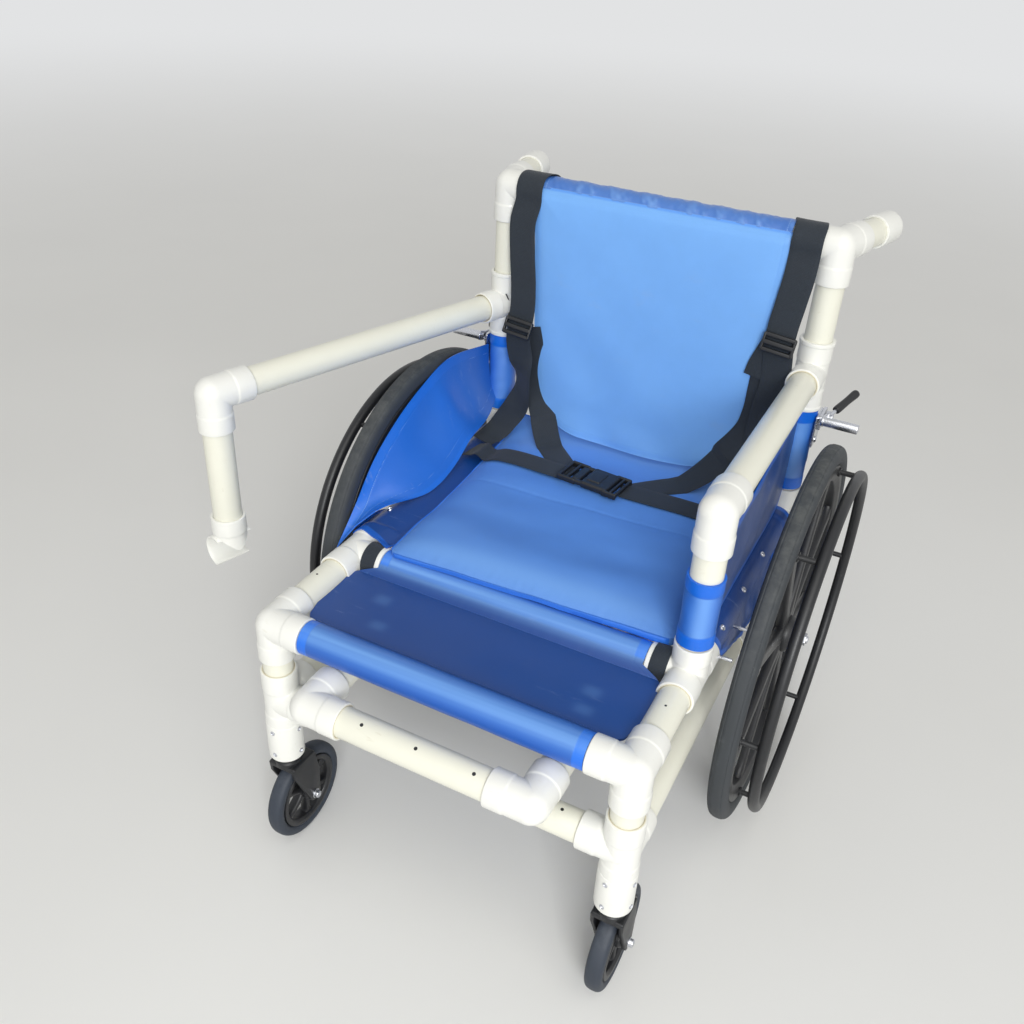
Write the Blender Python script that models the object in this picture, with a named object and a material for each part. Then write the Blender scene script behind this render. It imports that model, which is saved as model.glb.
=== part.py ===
"""Pool wheelchair of white plastic pipe with blue mesh fabric, black wheels and a swing-away arm.

Metres, +Z up, front towards -Y, the sitter's left side at +X. All sizes are given in the chair's own
coordinates: x = 0 on the centre plane, y = 0 on the front legs, z = 0 on the floor. The object `chair`
carries everything and moves those coordinates to the middle of the whole part's footprint.
"""
import math

import bmesh
import bpy
import numpy as np
from mathutils import Matrix, Vector

# Middle of the footprint in chair coordinates: the opened arm and the footrest reach further than the rest.
FOOTPRINT_MID = (-0.0421, 0.3580, 0.0)

# Pipe (1 1/4 inch) and its moulded fittings
PIPE_R = 0.0211
SOCKET_R = 0.0214
FIT_R = 0.0254
FIT_REACH = 0.055
SOCKET_DEPTH = 0.032
PIPE_IN_SOCKET = 0.030
KNUCKLE_R = 0.0261
SLIP_R = 0.0222
GAP = 0.0003
SIDES = 12

# Frame
HALF_W = 0.262
LOW_Z = 0.291
SEAT_Z = 0.424
ARM_Z = 0.676
TOP_Z = 0.872
TEE_Y = 0.192
AXLE_Y = 0.498
BACK_Y = 0.650
COLLAR_Z = 0.184
COLLAR_R = 0.0262
HANDLE_LEN = 0.147
HANDLE_CAP = 0.047
HANDLE_CAP_R = 0.0246
HANDLE_SPLAY = {"left": 9.6, "right": 17.0}
FOOT_CAP_STEPS = ((0.2660, 0.0130), (0.2705, 0.0205), (0.2790, 0.0246))
TEE_RIM_R = 0.0269
TEE_RIM_LEN = 0.0060

# Swing arm on the sitter's right, opened from its closed place
SWING_OPEN_DEG = 17.74
SWING_REACH = 0.5623
CLIP_LEN = 0.056
CLIP_R = 0.0258

# Footrest that slides out under the seat
FOOT_HALF = 0.162
FOOT_Y = -0.061
FOOT_Z = 0.370
FOOT_END_Y = 0.715
FOOT_CAP = 0.030
GUIDE_R = 0.0268
GUIDE_NECK_R = 0.016

# Rear wheels
WHEEL_R = 0.305
WHEEL_X = 0.328
TYRE_HALF = 0.015
TYRE_IN_R = 0.2730
RIM_OUT_R = 0.2727
RIM_IN_R = 0.2500
RIM_HALF = 0.0115
HUB_R = 0.030
HUB_IN_X = 0.2985
HUB_OUT_X = 0.3585
SPOKES = 8
WHEEL_SIDES = 36
AXLE_R = 0.0060
AXLE_BORE_R = 0.0066
AXLE_START_X = 0.2680
WASHER_R = 0.0140
WASHER_THICK = 0.0018
NUT_R = 0.0100
NUT_LEN = 0.0094
BOSS_R = 0.0170
BOSS_X = 0.2970
HANDRIM_R = 0.2680
HANDRIM_TUBE_R = 0.0085
HANDRIM_X = 0.3740
STANDOFFS = 6
STANDOFF_R = 0.0042

# Casters
CASTER_R = 0.0762
CASTER_TRAIL = 0.028
CASTER_HALF = 0.0125
CASTER_TYRE_IN_R = 0.0580
CASTER_RIM_R = 0.0577
CASTER_RIM_IN_R = 0.0490
CASTER_HUB_R = 0.0130
CASTER_HUB_HALF = 0.0165
CASTER_SPOKES = 6
CASTER_SIDES = 20
FORK_IN = 0.0172
FORK_OUT = 0.0232
STEM_R = 0.0080
STEM_BORE_R = 0.0085
BOLT_R = 0.0040

# Wheel locks: a pivoted lever whose round bar comes down on the tyre
LOCK_PIVOT = (0.672, 0.600)
LOCK_BAR = (0.632, 0.611)
LOCK_BAR_R = 0.0075
LOCK_BAR_X = (0.2965, 0.3520)
LOCK_LEVER_DEG = 20.0
LOCK_PLATE_X = (0.2872, 0.2902)
LOCK_PLATE_Y = (0.634, 0.676)
LOCK_PLATE_Z = (0.560, 0.614)
LOCK_BOLT_Z = (0.570, 0.600)
LOCK_BOLT_R = 0.0030

# Fabric and webbing
FABRIC = 0.0016
LEG_PANEL_HALF = (0.2062, 0.2345)
WEB_W = 0.045
WEB_T = 0.0014
SLING_Y = (0.2505, 0.5915)
SLING_SAG = 0.010
SLING_R = SOCKET_R + FABRIC
CUSHION_AT = (0.0048, 0.4152)
CUSHION_HALF = (0.2183, 0.2225)
CUSHION_YAW_DEG = 3.15
CUSHION_BED = 0.4512
CUSHION_RISE = 0.0280
CUSHION_EDGE = 0.0100
CHANNEL_BACK = 0.0166
CHANNEL_HALF = 0.009
CHANNEL_DEPTH = 0.0035
PANEL_HALF = (0.172, 0.1885)
PANEL_Z = (0.482, 0.872)
PANEL_LEAN = 0.006
PANEL_CORNER = 0.055
STRAP_FALL = ((0.820, 0.6222), (0.760, 0.6200), (0.700, 0.6180), (0.640, 0.6160), (0.590, 0.6110))
ADJUSTER_Z = {"left": 0.640, "right": 0.705}
BELT_Y = 0.508
BAND_X = (0.2135, 0.2355)
SLEEVE_R = 0.0249
SLEEVE_Z = (0.4825, 0.5840)
REAR_SLEEVE_Z = (0.4825, 0.6205)
FLAP = ((0.2505, 0.4300), (0.2505, 0.4180), (0.3000, 0.4000), (0.3830, 0.3620), (0.4450, 0.3600),
        (0.4700, 0.3740), (0.5130, 0.4180), (0.5300, 0.4200), (0.5400, 0.4080), (0.5700, 0.4000),
        (0.5915, 0.4120), (0.5915, 0.4300))

# The loose left side panel: its lower edge on the seat, and its upper edge against the wheel
LOOSE_LOW = ((-0.2830, 0.2220, 0.4495), (-0.2720, 0.2670, 0.4575), (-0.2385, 0.3660, 0.4495),
             (-0.2420, 0.4510, 0.4560), (-0.2480, 0.5110, 0.4740), (-0.2570, 0.6000, 0.4870),
             (-0.2620, 0.6275, 0.5030))
LOOSE_HIGH = ((-0.3060, 0.2050, 0.4080), (-0.3095, 0.2610, 0.4470), (-0.3105, 0.3180, 0.5000),
              (-0.3105, 0.3770, 0.5360), (-0.3105, 0.4520, 0.5670), (-0.3080, 0.5380, 0.5930),
              (-0.2840, 0.6400, 0.5980))
LOOSE_SAG = 0.0070

MATERIALS = {
    "white_pipe": ((0.86, 0.85, 0.76, 1.0), 0.35, 0.0),
    "blue_mesh": ((0.06, 0.21, 0.62, 1.0), 0.60, 0.0),
    "black_webbing": ((0.02, 0.025, 0.03, 1.0), 0.75, 0.0),
    "black_plastic": ((0.018, 0.018, 0.02, 1.0), 0.45, 0.0),
    "tyre_rubber": ((0.035, 0.037, 0.04, 1.0), 0.80, 0.0),
    "caster_rubber": ((0.08, 0.085, 0.095, 1.0), 0.70, 0.0),
    "steel": ((0.70, 0.71, 0.73, 1.0), 0.28, 1.0),
}


def clear_scene():
    """Empty the scene that the script was started in."""
    for obj in list(bpy.data.objects):
        bpy.data.objects.remove(obj, do_unlink=True)


def make_materials():
    """One Principled material for each finish."""
    made = {}
    for name, (colour, rough, metal) in MATERIALS.items():
        mat = bpy.data.materials.new(name)
        mat.use_nodes = True
        shader = mat.node_tree.nodes["Principled BSDF"]
        shader.inputs["Base Color"].default_value = colour
        shader.inputs["Roughness"].default_value = rough
        shader.inputs["Metallic"].default_value = metal
        mat.diffuse_color = colour
        made[name] = mat
    return made


def finish(bm):
    """Turn a bmesh into a mesh whose faces point out."""
    bmesh.ops.recalc_face_normals(bm, faces=bm.faces[:])
    mesh = bpy.data.meshes.new("solid")
    bm.to_mesh(mesh)
    bm.free()
    return mesh


def loft(rings, closed=False):
    """A mesh through rings of equal point count: capped at both ends, or joined end to end."""
    bm = bmesh.new()
    loops = [[bm.verts.new(p) for p in ring] for ring in rings]
    count = len(loops[0])
    pairs = list(zip(loops, loops[1:]))
    if closed:
        pairs.append((loops[-1], loops[0]))
    for low, high in pairs:
        for i in range(count):
            j = (i + 1) % count
            bm.faces.new((low[i], low[j], high[j], high[i]))
    if not closed:
        bm.faces.new(loops[0][::-1])
        bm.faces.new(loops[-1])
    return finish(bm)


def circle(centre, axis, radius, sides=SIDES):
    """Points round a circle square to an axis."""
    axis = Vector(axis).normalized()
    side = axis.orthogonal().normalized()
    if abs(axis.z) < 0.9:
        side = axis.cross(Vector((0.0, 0.0, 1.0))).normalized()
    up = axis.cross(side)
    turn = [2.0 * math.pi * (k + 0.5) / sides for k in range(sides)]
    return [Vector(centre) + radius * (math.cos(a) * side + math.sin(a) * up) for a in turn]


def turned(start, axis, steps, sides=SIDES):
    """A turned solid: steps are (distance along the axis, radius)."""
    axis = Vector(axis).normalized()
    return loft([circle(Vector(start) + axis * along, axis, radius, sides) for along, radius in steps])


def rod(p0, p1, radius, sides=SIDES):
    """A plain round bar between two points."""
    span = Vector(p1) - Vector(p0)
    return turned(p0, span, [(0.0, radius), (span.length, radius)], sides)


def knuckle(centre, radius=KNUCKLE_R):
    """The round outside of a fitting where its branches meet."""
    bm = bmesh.new()
    bmesh.ops.create_uvsphere(bm, u_segments=12, v_segments=6, radius=radius)
    bmesh.ops.rotate(bm, verts=bm.verts[:], matrix=Matrix.Rotation(0.1, 3, "Z"))
    bmesh.ops.translate(bm, verts=bm.verts[:], vec=Vector(centre))
    return finish(bm)


def box(low, high):
    """A box between two corners."""
    (x0, y0, z0), (x1, y1, z1) = low, high
    bottom = [Vector((x0, y0, z0)), Vector((x1, y0, z0)), Vector((x1, y1, z0)), Vector((x0, y1, z0))]
    top = [p + Vector((0.0, 0.0, z1 - z0)) for p in bottom]
    return loft([bottom, top])


def plate(outline, axis, low, high):
    """A flat plate square to x or z: an outline in the two other axes, between two values on the axis."""
    def at(value):
        if axis == "x":
            return [Vector((value, a, b)) for a, b in outline]
        return [Vector((a, b, value)) for a, b in outline]
    return loft([at(low), at(high)])


def ring_solid(centre, axis, section, sides):
    """A ring round an axis: the section is a closed outline of (distance along the axis, radius)."""
    axis = Vector(axis).normalized()
    side = axis.cross(Vector((0.0, 0.0, 1.0))).normalized()
    up = axis.cross(side)
    rings = []
    for k in range(sides):
        a = 2.0 * math.pi * k / sides
        out = math.cos(a) * side + math.sin(a) * up
        rings.append([Vector(centre) + axis * along + out * radius for along, radius in section])
    return loft(rings, closed=True)


def ribbon(points, across, width, thick):
    """A flat band along a path, with the direction of its width given at each point."""
    pts = [Vector(p) for p in points]
    rings = []
    for k, p in enumerate(pts):
        ahead = (pts[min(k + 1, len(pts) - 1)] - pts[max(k - 1, 0)]).normalized()
        wide = Vector(across[k] if isinstance(across, list) else across).normalized()
        face = ahead.cross(wide).normalized()
        wide = face.cross(ahead).normalized()
        w, t = wide * width / 2, face * thick / 2
        rings.append([p - w - t, p + w - t, p + w + t, p - w + t])
    bm = bmesh.new()
    loops = [[bm.verts.new(p) for p in ring] for ring in rings]
    for low, high in zip(loops, loops[1:]):
        for i, j in ((0, 1), (1, 2), (2, 3), (3, 0)):
            # Both faces of the band split along the same diagonal, so a twisted stretch keeps its thickness.
            if i in (0, 3):
                bm.faces.new((low[i], low[j], high[j]))
                bm.faces.new((low[i], high[j], high[i]))
            else:
                bm.faces.new((low[i], low[j], high[i]))
                bm.faces.new((low[j], high[j], high[i]))
    bm.faces.new(loops[0][::-1])
    bm.faces.new(loops[-1])
    return finish(bm)


def sheet(grid_low, grid_high):
    """A closed solid between two grids of points of the same size."""
    bm = bmesh.new()
    low = [[bm.verts.new(p) for p in row] for row in grid_low]
    high = [[bm.verts.new(p) for p in row] for row in grid_high]
    rows, cols = len(low), len(low[0])
    for i in range(rows - 1):
        for j in range(cols - 1):
            for side in (low, high):
                bm.faces.new((side[i][j], side[i + 1][j], side[i + 1][j + 1]))
                bm.faces.new((side[i][j], side[i + 1][j + 1], side[i][j + 1]))
    rim = [(0, j) for j in range(cols)] + [(i, cols - 1) for i in range(1, rows)]
    rim += [(rows - 1, j) for j in range(cols - 2, -1, -1)] + [(i, 0) for i in range(rows - 2, 0, -1)]
    for (a, b), (c, d) in zip(rim, rim[1:] + rim[:1]):
        bm.faces.new((low[a][b], low[c][d], high[c][d], high[a][b]))
    return finish(bm)


def merge_flat_faces(mesh):
    """Join the coplanar pieces that a Boolean leaves on flat and ruled faces."""
    bm = bmesh.new()
    bm.from_mesh(mesh)
    bmesh.ops.dissolve_limit(bm, angle_limit=math.radians(0.3), verts=bm.verts[:], edges=bm.edges[:])
    bmesh.ops.triangulate(bm, faces=bm.faces[:])
    bm.to_mesh(mesh)
    bm.free()


class Builder:
    """Makes the named pieces and hangs each on its carrier."""

    def __init__(self, materials):
        self.materials = materials
        self.root = self.carrier("chair", None, tuple(-v for v in FOOTPRINT_MID))

    def carrier(self, name, parent, place, turn=0.0):
        """An empty that other pieces follow, such as a joint's place."""
        empty = bpy.data.objects.new(name, None)
        bpy.context.scene.collection.objects.link(empty)
        empty.parent = parent
        empty.location = place
        empty.rotation_euler = (0.0, 0.0, turn)
        return empty

    def piece(self, name, material, adds, cuts=(), parent=None, flat=False):
        """Join the solids in adds, cut away those in cuts, and keep the result as one object."""
        base = bpy.data.objects.new(name, adds[0])
        bpy.context.scene.collection.objects.link(base)
        helpers = []
        for kind, meshes in (("UNION", adds[1:]), ("DIFFERENCE", cuts)):
            for mesh in meshes:
                helper = bpy.data.objects.new("helper", mesh)
                bpy.context.scene.collection.objects.link(helper)
                helpers.append(helper)
                mod = base.modifiers.new(kind.lower(), "BOOLEAN")
                mod.operation = kind
                mod.solver = "EXACT"
                mod.object = helper
        if helpers:
            bpy.context.view_layer.update()
            graph = bpy.context.evaluated_depsgraph_get()
            solid = bpy.data.meshes.new_from_object(base.evaluated_get(graph))
            base.modifiers.clear()
            base.data = solid
            merge_flat_faces(solid)
            for helper in helpers:
                bpy.data.objects.remove(helper, do_unlink=True)
        mesh = base.data
        mesh.name = name
        mesh.materials.clear()
        mesh.materials.append(self.materials[material])
        if not flat:
            mesh.shade_smooth()
            mesh.set_sharp_from_angle(angle=math.radians(35.0))
        base.parent = parent or self.root
        return base


def branch(centre, direction, reach=FIT_REACH, radius=FIT_R):
    """One arm of a fitting, from its middle to its rim."""
    centre = Vector(centre)
    return rod(centre, centre + Vector(direction).normalized() * reach, radius)


def socket(centre, direction, reach=FIT_REACH, depth=SOCKET_DEPTH):
    """The hole in a fitting's arm that takes a pipe."""
    centre, direction = Vector(centre), Vector(direction).normalized()
    return rod(centre + direction * (reach - depth), centre + direction * (reach + 0.01), SOCKET_R)


def lock_bolt_holes(sign):
    """The holes that a wheel lock's two bolts go through, in the post and in the cloth round it."""
    return [rod((sign * (HALF_W - 0.014), BACK_Y, z), (sign * 0.300, BACK_Y, z), LOCK_BOLT_R + GAP, 8)
            for z in LOCK_BOLT_Z]


def build_side(make, side, sign):
    """Leg, corner, seat rail, lower rail, upright and handle of one side."""
    x = sign * HALF_W
    inward, back, up, down = (-sign, 0, 0), (0, 1, 0), (0, 0, 1), (0, 0, -1)
    low, high = (x, 0.0, LOW_Z), (x, 0.0, SEAT_Z)
    in_corner = SEAT_Z - FIT_REACH + PIPE_IN_SOCKET - 0.005
    leg_steps = [(COLLAR_Z, COLLAR_R), (0.232, COLLAR_R), (0.232, PIPE_R), (LOW_Z - FIT_REACH, PIPE_R),
                 (LOW_Z - FIT_REACH, FIT_R), (LOW_Z + FIT_REACH, FIT_R), (LOW_Z + FIT_REACH, PIPE_R),
                 (in_corner, PIPE_R)]
    make.piece(f"leg_{side}", "white_pipe",
               [turned((x, 0, 0), up, leg_steps), branch(low, inward), branch(low, back)],
               [socket(low, inward), socket(low, back), rod((x, 0, 0.170), (x, 0, 0.252), STEM_BORE_R)])
    make.piece(f"corner_{side}", "white_pipe",
               [knuckle(high), branch(high, down), branch(high, inward), branch(high, back)],
               [socket(high, down), socket(high, inward), socket(high, back)])

    # The seat rail with its tee; the fixed arm's post stands in the tee of the sitter's left side.
    tee = (x, TEE_Y, SEAT_Z)
    start, end = FIT_REACH - PIPE_IN_SOCKET, BACK_Y - FIT_REACH + PIPE_IN_SOCKET
    rail_steps = [(start, PIPE_R), (TEE_Y - FIT_REACH, PIPE_R), (TEE_Y - FIT_REACH, FIT_R),
                  (TEE_Y + FIT_REACH, FIT_R), (TEE_Y + FIT_REACH, PIPE_R), (end, PIPE_R)]
    adds, cuts = [turned((x, 0, SEAT_Z), back, rail_steps), branch(tee, inward)], [socket(tee, inward)]
    if side == "right":
        adds.append(branch(tee, up))
        cuts.append(socket(tee, up))
    make.piece(f"seat_rail_{side}", "white_pipe", adds, cuts)

    # The lower rail carries the rear axle in a boss on its tee.
    axle_tee = (x, AXLE_Y, LOW_Z)
    low_steps = [(start, PIPE_R), (AXLE_Y - FIT_REACH, PIPE_R), (AXLE_Y - FIT_REACH, FIT_R),
                 (AXLE_Y + FIT_REACH, FIT_R), (AXLE_Y + FIT_REACH, PIPE_R), (end, PIPE_R)]
    boss_end = (sign * BOSS_X, AXLE_Y, WHEEL_R)
    make.piece(f"lower_rail_{side}", "white_pipe",
               [turned((x, 0, LOW_Z), back, low_steps), branch(axle_tee, inward),
                rod((x, AXLE_Y, WHEEL_R), boss_end, BOSS_R)],
               [socket(axle_tee, inward),
                rod((sign * (HALF_W + 0.004), AXLE_Y, WHEEL_R), (sign * 0.31, AXLE_Y, WHEEL_R),
                    AXLE_R + GAP)])

    foot, knee = (x, BACK_Y, LOW_Z), (x, BACK_Y, SEAT_Z)
    post_steps = [*FOOT_CAP_STEPS, (LOW_Z - 0.002, FIT_R), (LOW_Z + FIT_REACH, FIT_R),
                  (LOW_Z + FIT_REACH, PIPE_R), (SEAT_Z - FIT_REACH, PIPE_R), (SEAT_Z - FIT_REACH, FIT_R),
                  (SEAT_Z + FIT_REACH, FIT_R), (SEAT_Z + FIT_REACH, PIPE_R),
                  (TOP_Z - FIT_REACH + PIPE_IN_SOCKET, PIPE_R)]
    forward = (0, -1, 0)
    make.piece(f"upright_{side}", "white_pipe",
               [turned((x, BACK_Y, 0), up, post_steps), branch(foot, forward), branch(foot, inward),
                branch(knee, forward)],
               [socket(foot, forward), socket(foot, inward), socket(knee, forward), *lock_bolt_holes(sign)])

    splay = math.radians(HANDLE_SPLAY[side])
    along = (sign * math.sin(splay), math.cos(splay), 0)
    top = (x, BACK_Y, TOP_Z)
    grip_steps = [(0.0, FIT_R), (FIT_REACH, FIT_R), (FIT_REACH, PIPE_R), (HANDLE_LEN - HANDLE_CAP, PIPE_R),
                  (HANDLE_LEN - HANDLE_CAP, HANDLE_CAP_R), (HANDLE_LEN - 0.003, HANDLE_CAP_R),
                  (HANDLE_LEN, HANDLE_CAP_R - 0.003)]
    make.piece(f"handle_{side}", "white_pipe",
               [knuckle(top), branch(top, down), branch(top, inward), turned(top, along, grip_steps)],
               [socket(top, down), socket(top, inward)])


def build_crossbars(make):
    """The pipes that tie the two sides, with the footrest's four guides."""
    reach = HALF_W - FIT_REACH + PIPE_IN_SOCKET
    bars = {"front_crossbar": (0.0, SEAT_Z), "lower_crossbar": (0.0, LOW_Z),
            "rear_crossbar": (BACK_Y, LOW_Z), "top_crossbar": (BACK_Y, TOP_Z)}
    for name, (y, z) in bars.items():
        make.piece(name, "white_pipe", [rod((-reach, y, z), (reach, y, z), PIPE_R)])
    for name, y, z, half_len in (("seat_crossbar", TEE_Y, SEAT_Z, 0.020),
                                 ("mid_crossbar", AXLE_Y, LOW_Z, 0.0275)):
        adds, cuts = [rod((-reach, y, z), (reach, y, z), PIPE_R)], []
        for s in (-1, 1):
            gx = s * FOOT_HALF
            adds.append(rod((gx, y, z), (gx, y, FOOT_Z), GUIDE_NECK_R))
            adds.append(rod((gx, y - half_len, FOOT_Z), (gx, y + half_len, FOOT_Z), GUIDE_R))
            cuts.append(rod((gx, y - 0.05, FOOT_Z), (gx, y + 0.05, FOOT_Z), SLIP_R))
        make.piece(name, "white_pipe", adds, cuts)


def arm_tee(centre):
    """The body of an armrest's rear tee: a sleeve on the upright with a raised ring at each end."""
    rim = FIT_REACH - TEE_RIM_LEN
    steps = [(-FIT_REACH, TEE_RIM_R), (-rim, TEE_RIM_R), (-rim, FIT_R), (rim, FIT_R), (rim, TEE_RIM_R),
             (FIT_REACH, TEE_RIM_R)]
    return turned(centre, (0, 0, 1), steps)


def build_fixed_arm(make):
    """The armrest of the sitter's left side: rear tee on the upright, pipe, elbow and post."""
    x = HALF_W
    rear = (x, BACK_Y, ARM_Z)
    make.piece("arm_right_tee", "white_pipe",
               [arm_tee(rear), branch(rear, (0, -1, 0))],
               [rod((x, BACK_Y, ARM_Z - 0.07), (x, BACK_Y, ARM_Z + 0.07), SOCKET_R), socket(rear, (0, -1, 0))])
    elbow = (x, TEE_Y, ARM_Z)
    pipe_end = BACK_Y - FIT_REACH + PIPE_IN_SOCKET
    post_end = SEAT_Z + FIT_REACH - PIPE_IN_SOCKET
    make.piece("arm_right", "white_pipe",
               [knuckle(elbow), branch(elbow, (0, 1, 0)), branch(elbow, (0, 0, -1)),
                rod(elbow, (x, pipe_end, ARM_Z), PIPE_R), rod(elbow, (x, TEE_Y, post_end), PIPE_R)])


def build_swing_arm(make):
    """The armrest of the sitter's right side, turned out on its slip tee."""
    pivot = make.carrier("swing_pivot", make.root, (-HALF_W, BACK_Y, ARM_Z), -math.radians(SWING_OPEN_DEG))
    centre, forward, down = (0, 0, 0), (0, -1, 0), (0, 0, -1)
    make.piece("swing_tee", "white_pipe", [arm_tee(centre), branch(centre, forward)],
               [rod((0, 0, -0.07), (0, 0, 0.07), SLIP_R), socket(centre, forward, depth=SOCKET_DEPTH - 0.001)],
               parent=pivot)
    elbow = (0, -SWING_REACH, 0)
    drop = SEAT_Z - ARM_Z
    clip_socket = 0.030
    make.piece("swing_arm", "white_pipe",
               [knuckle(elbow), branch(elbow, (0, 1, 0)), branch(elbow, down),
                rod((0, -FIT_REACH + PIPE_IN_SOCKET, 0), elbow, PIPE_R),
                rod(elbow, (0, -SWING_REACH, drop + FIT_REACH - clip_socket + 0.002), PIPE_R)],
               parent=pivot)
    y0, y1 = -SWING_REACH - CLIP_LEN / 2, -SWING_REACH + CLIP_LEN / 2
    clip = (0, -SWING_REACH, drop)
    make.piece("swing_clip", "white_pipe",
               [rod((0, y0, drop), (0, y1, drop), CLIP_R), branch(clip, (0, 0, 1))],
               [rod((0, y0 - 0.01, drop), (0, y1 + 0.01, drop), SOCKET_R + GAP),
                box((0.0, y0 - 0.01, drop - 0.04), (0.04, y1 + 0.01, drop + SOCKET_R + GAP)),
                socket(clip, (0, 0, 1), depth=clip_socket)],
               parent=pivot)


def build_footrest(make):
    """The sliding bow: front bar, two elbows and two long rails with end caps."""
    adds = []
    for s in (-1, 1):
        elbow = (s * FOOT_HALF, FOOT_Y, FOOT_Z)
        rail_steps = [(0.0, PIPE_R), (FOOT_END_Y - FOOT_CAP - FOOT_Y, PIPE_R),
                      (FOOT_END_Y - FOOT_CAP - FOOT_Y, FIT_R - 0.001), (FOOT_END_Y - FOOT_Y, FIT_R - 0.001)]
        adds += [turned(elbow, (0, 1, 0), rail_steps), branch(elbow, (0, 1, 0)), branch(elbow, (-s, 0, 0)),
                 knuckle(elbow)]
    bar = rod((-FOOT_HALF, FOOT_Y, FOOT_Z), (FOOT_HALF, FOOT_Y, FOOT_Z), PIPE_R)
    make.piece("footrest_bow", "white_pipe", [bar] + adds)


def build_rear_wheel(make, side, sign):
    """Tyre, moulded wheel, handrim and axle bolt of one side."""
    hub = make.carrier(f"wheel_{side}", make.root, (sign * WHEEL_X, AXLE_Y, WHEEL_R))
    axis = (1, 0, 0)
    half_tyre = [(TYRE_HALF - 0.003, TYRE_IN_R), (TYRE_HALF, WHEEL_R - 0.015), (0.0065, WHEEL_R)]
    tyre = half_tyre + [(-along, r) for along, r in reversed(half_tyre)]
    make.piece(f"rear_tyre_{side}", "tyre_rubber", [ring_solid((0, 0, 0), axis, tyre, WHEEL_SIDES)], parent=hub)

    rim = [(-RIM_HALF, RIM_IN_R), (RIM_HALF, RIM_IN_R), (RIM_HALF, RIM_OUT_R), (-RIM_HALF, RIM_OUT_R)]
    x_in, x_out = sign * (HUB_IN_X - WHEEL_X), sign * (HUB_OUT_X - WHEEL_X)
    adds = [ring_solid((0, 0, 0), axis, rim, WHEEL_SIDES), rod((x_in, 0, 0), (x_out, 0, 0), HUB_R)]
    for k in range(SPOKES):
        a = 2.0 * math.pi * (k + 0.5) / SPOKES
        out, across = Vector((0, math.cos(a), math.sin(a))), Vector((0, -math.sin(a), math.cos(a)))
        rings = []
        for r, half, depth in ((HUB_R - 0.010, 0.011, 0.0090), (RIM_IN_R + 0.008, 0.014, 0.0070)):
            c, deep = out * r, Vector((depth, 0, 0))
            rings.append([c - across * half - deep, c + across * half - deep, c + across * half + deep,
                          c - across * half + deep])
        adds.append(loft(rings))
    make.piece(f"rear_rim_{side}", "black_plastic", adds, [rod((-0.05, 0, 0), (0.05, 0, 0), AXLE_BORE_R)],
               parent=hub)

    ring_x = sign * (HANDRIM_X - WHEEL_X)
    tube = [(HANDRIM_TUBE_R * math.cos(a), HANDRIM_R + HANDRIM_TUBE_R * math.sin(a))
            for a in (2.0 * math.pi * (k + 0.5) / 6 for k in range(6))]
    adds = [ring_solid((ring_x, 0, 0), axis, tube, WHEEL_SIDES)]
    for k in range(STANDOFFS):
        a = 2.0 * math.pi * k / STANDOFFS
        y, z = math.cos(a), math.sin(a)
        r = HANDRIM_R - 0.0025
        adds.append(rod((sign * (RIM_HALF + GAP), r * y, r * z), (ring_x, r * y, r * z), STANDOFF_R, 6))
    make.piece(f"handrim_{side}", "black_plastic", adds, parent=hub)

    washer_in, washer_out = HUB_OUT_X + GAP, HUB_OUT_X + GAP + WASHER_THICK
    bolt = [(AXLE_START_X, AXLE_R), (washer_in, AXLE_R), (washer_in, WASHER_R), (washer_out, WASHER_R),
            (washer_out, NUT_R), (washer_out + NUT_LEN, NUT_R)]
    make.piece(f"axle_bolt_{side}", "steel", [turned((0, AXLE_Y, WHEEL_R), (sign, 0, 0), bolt)])


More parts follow.
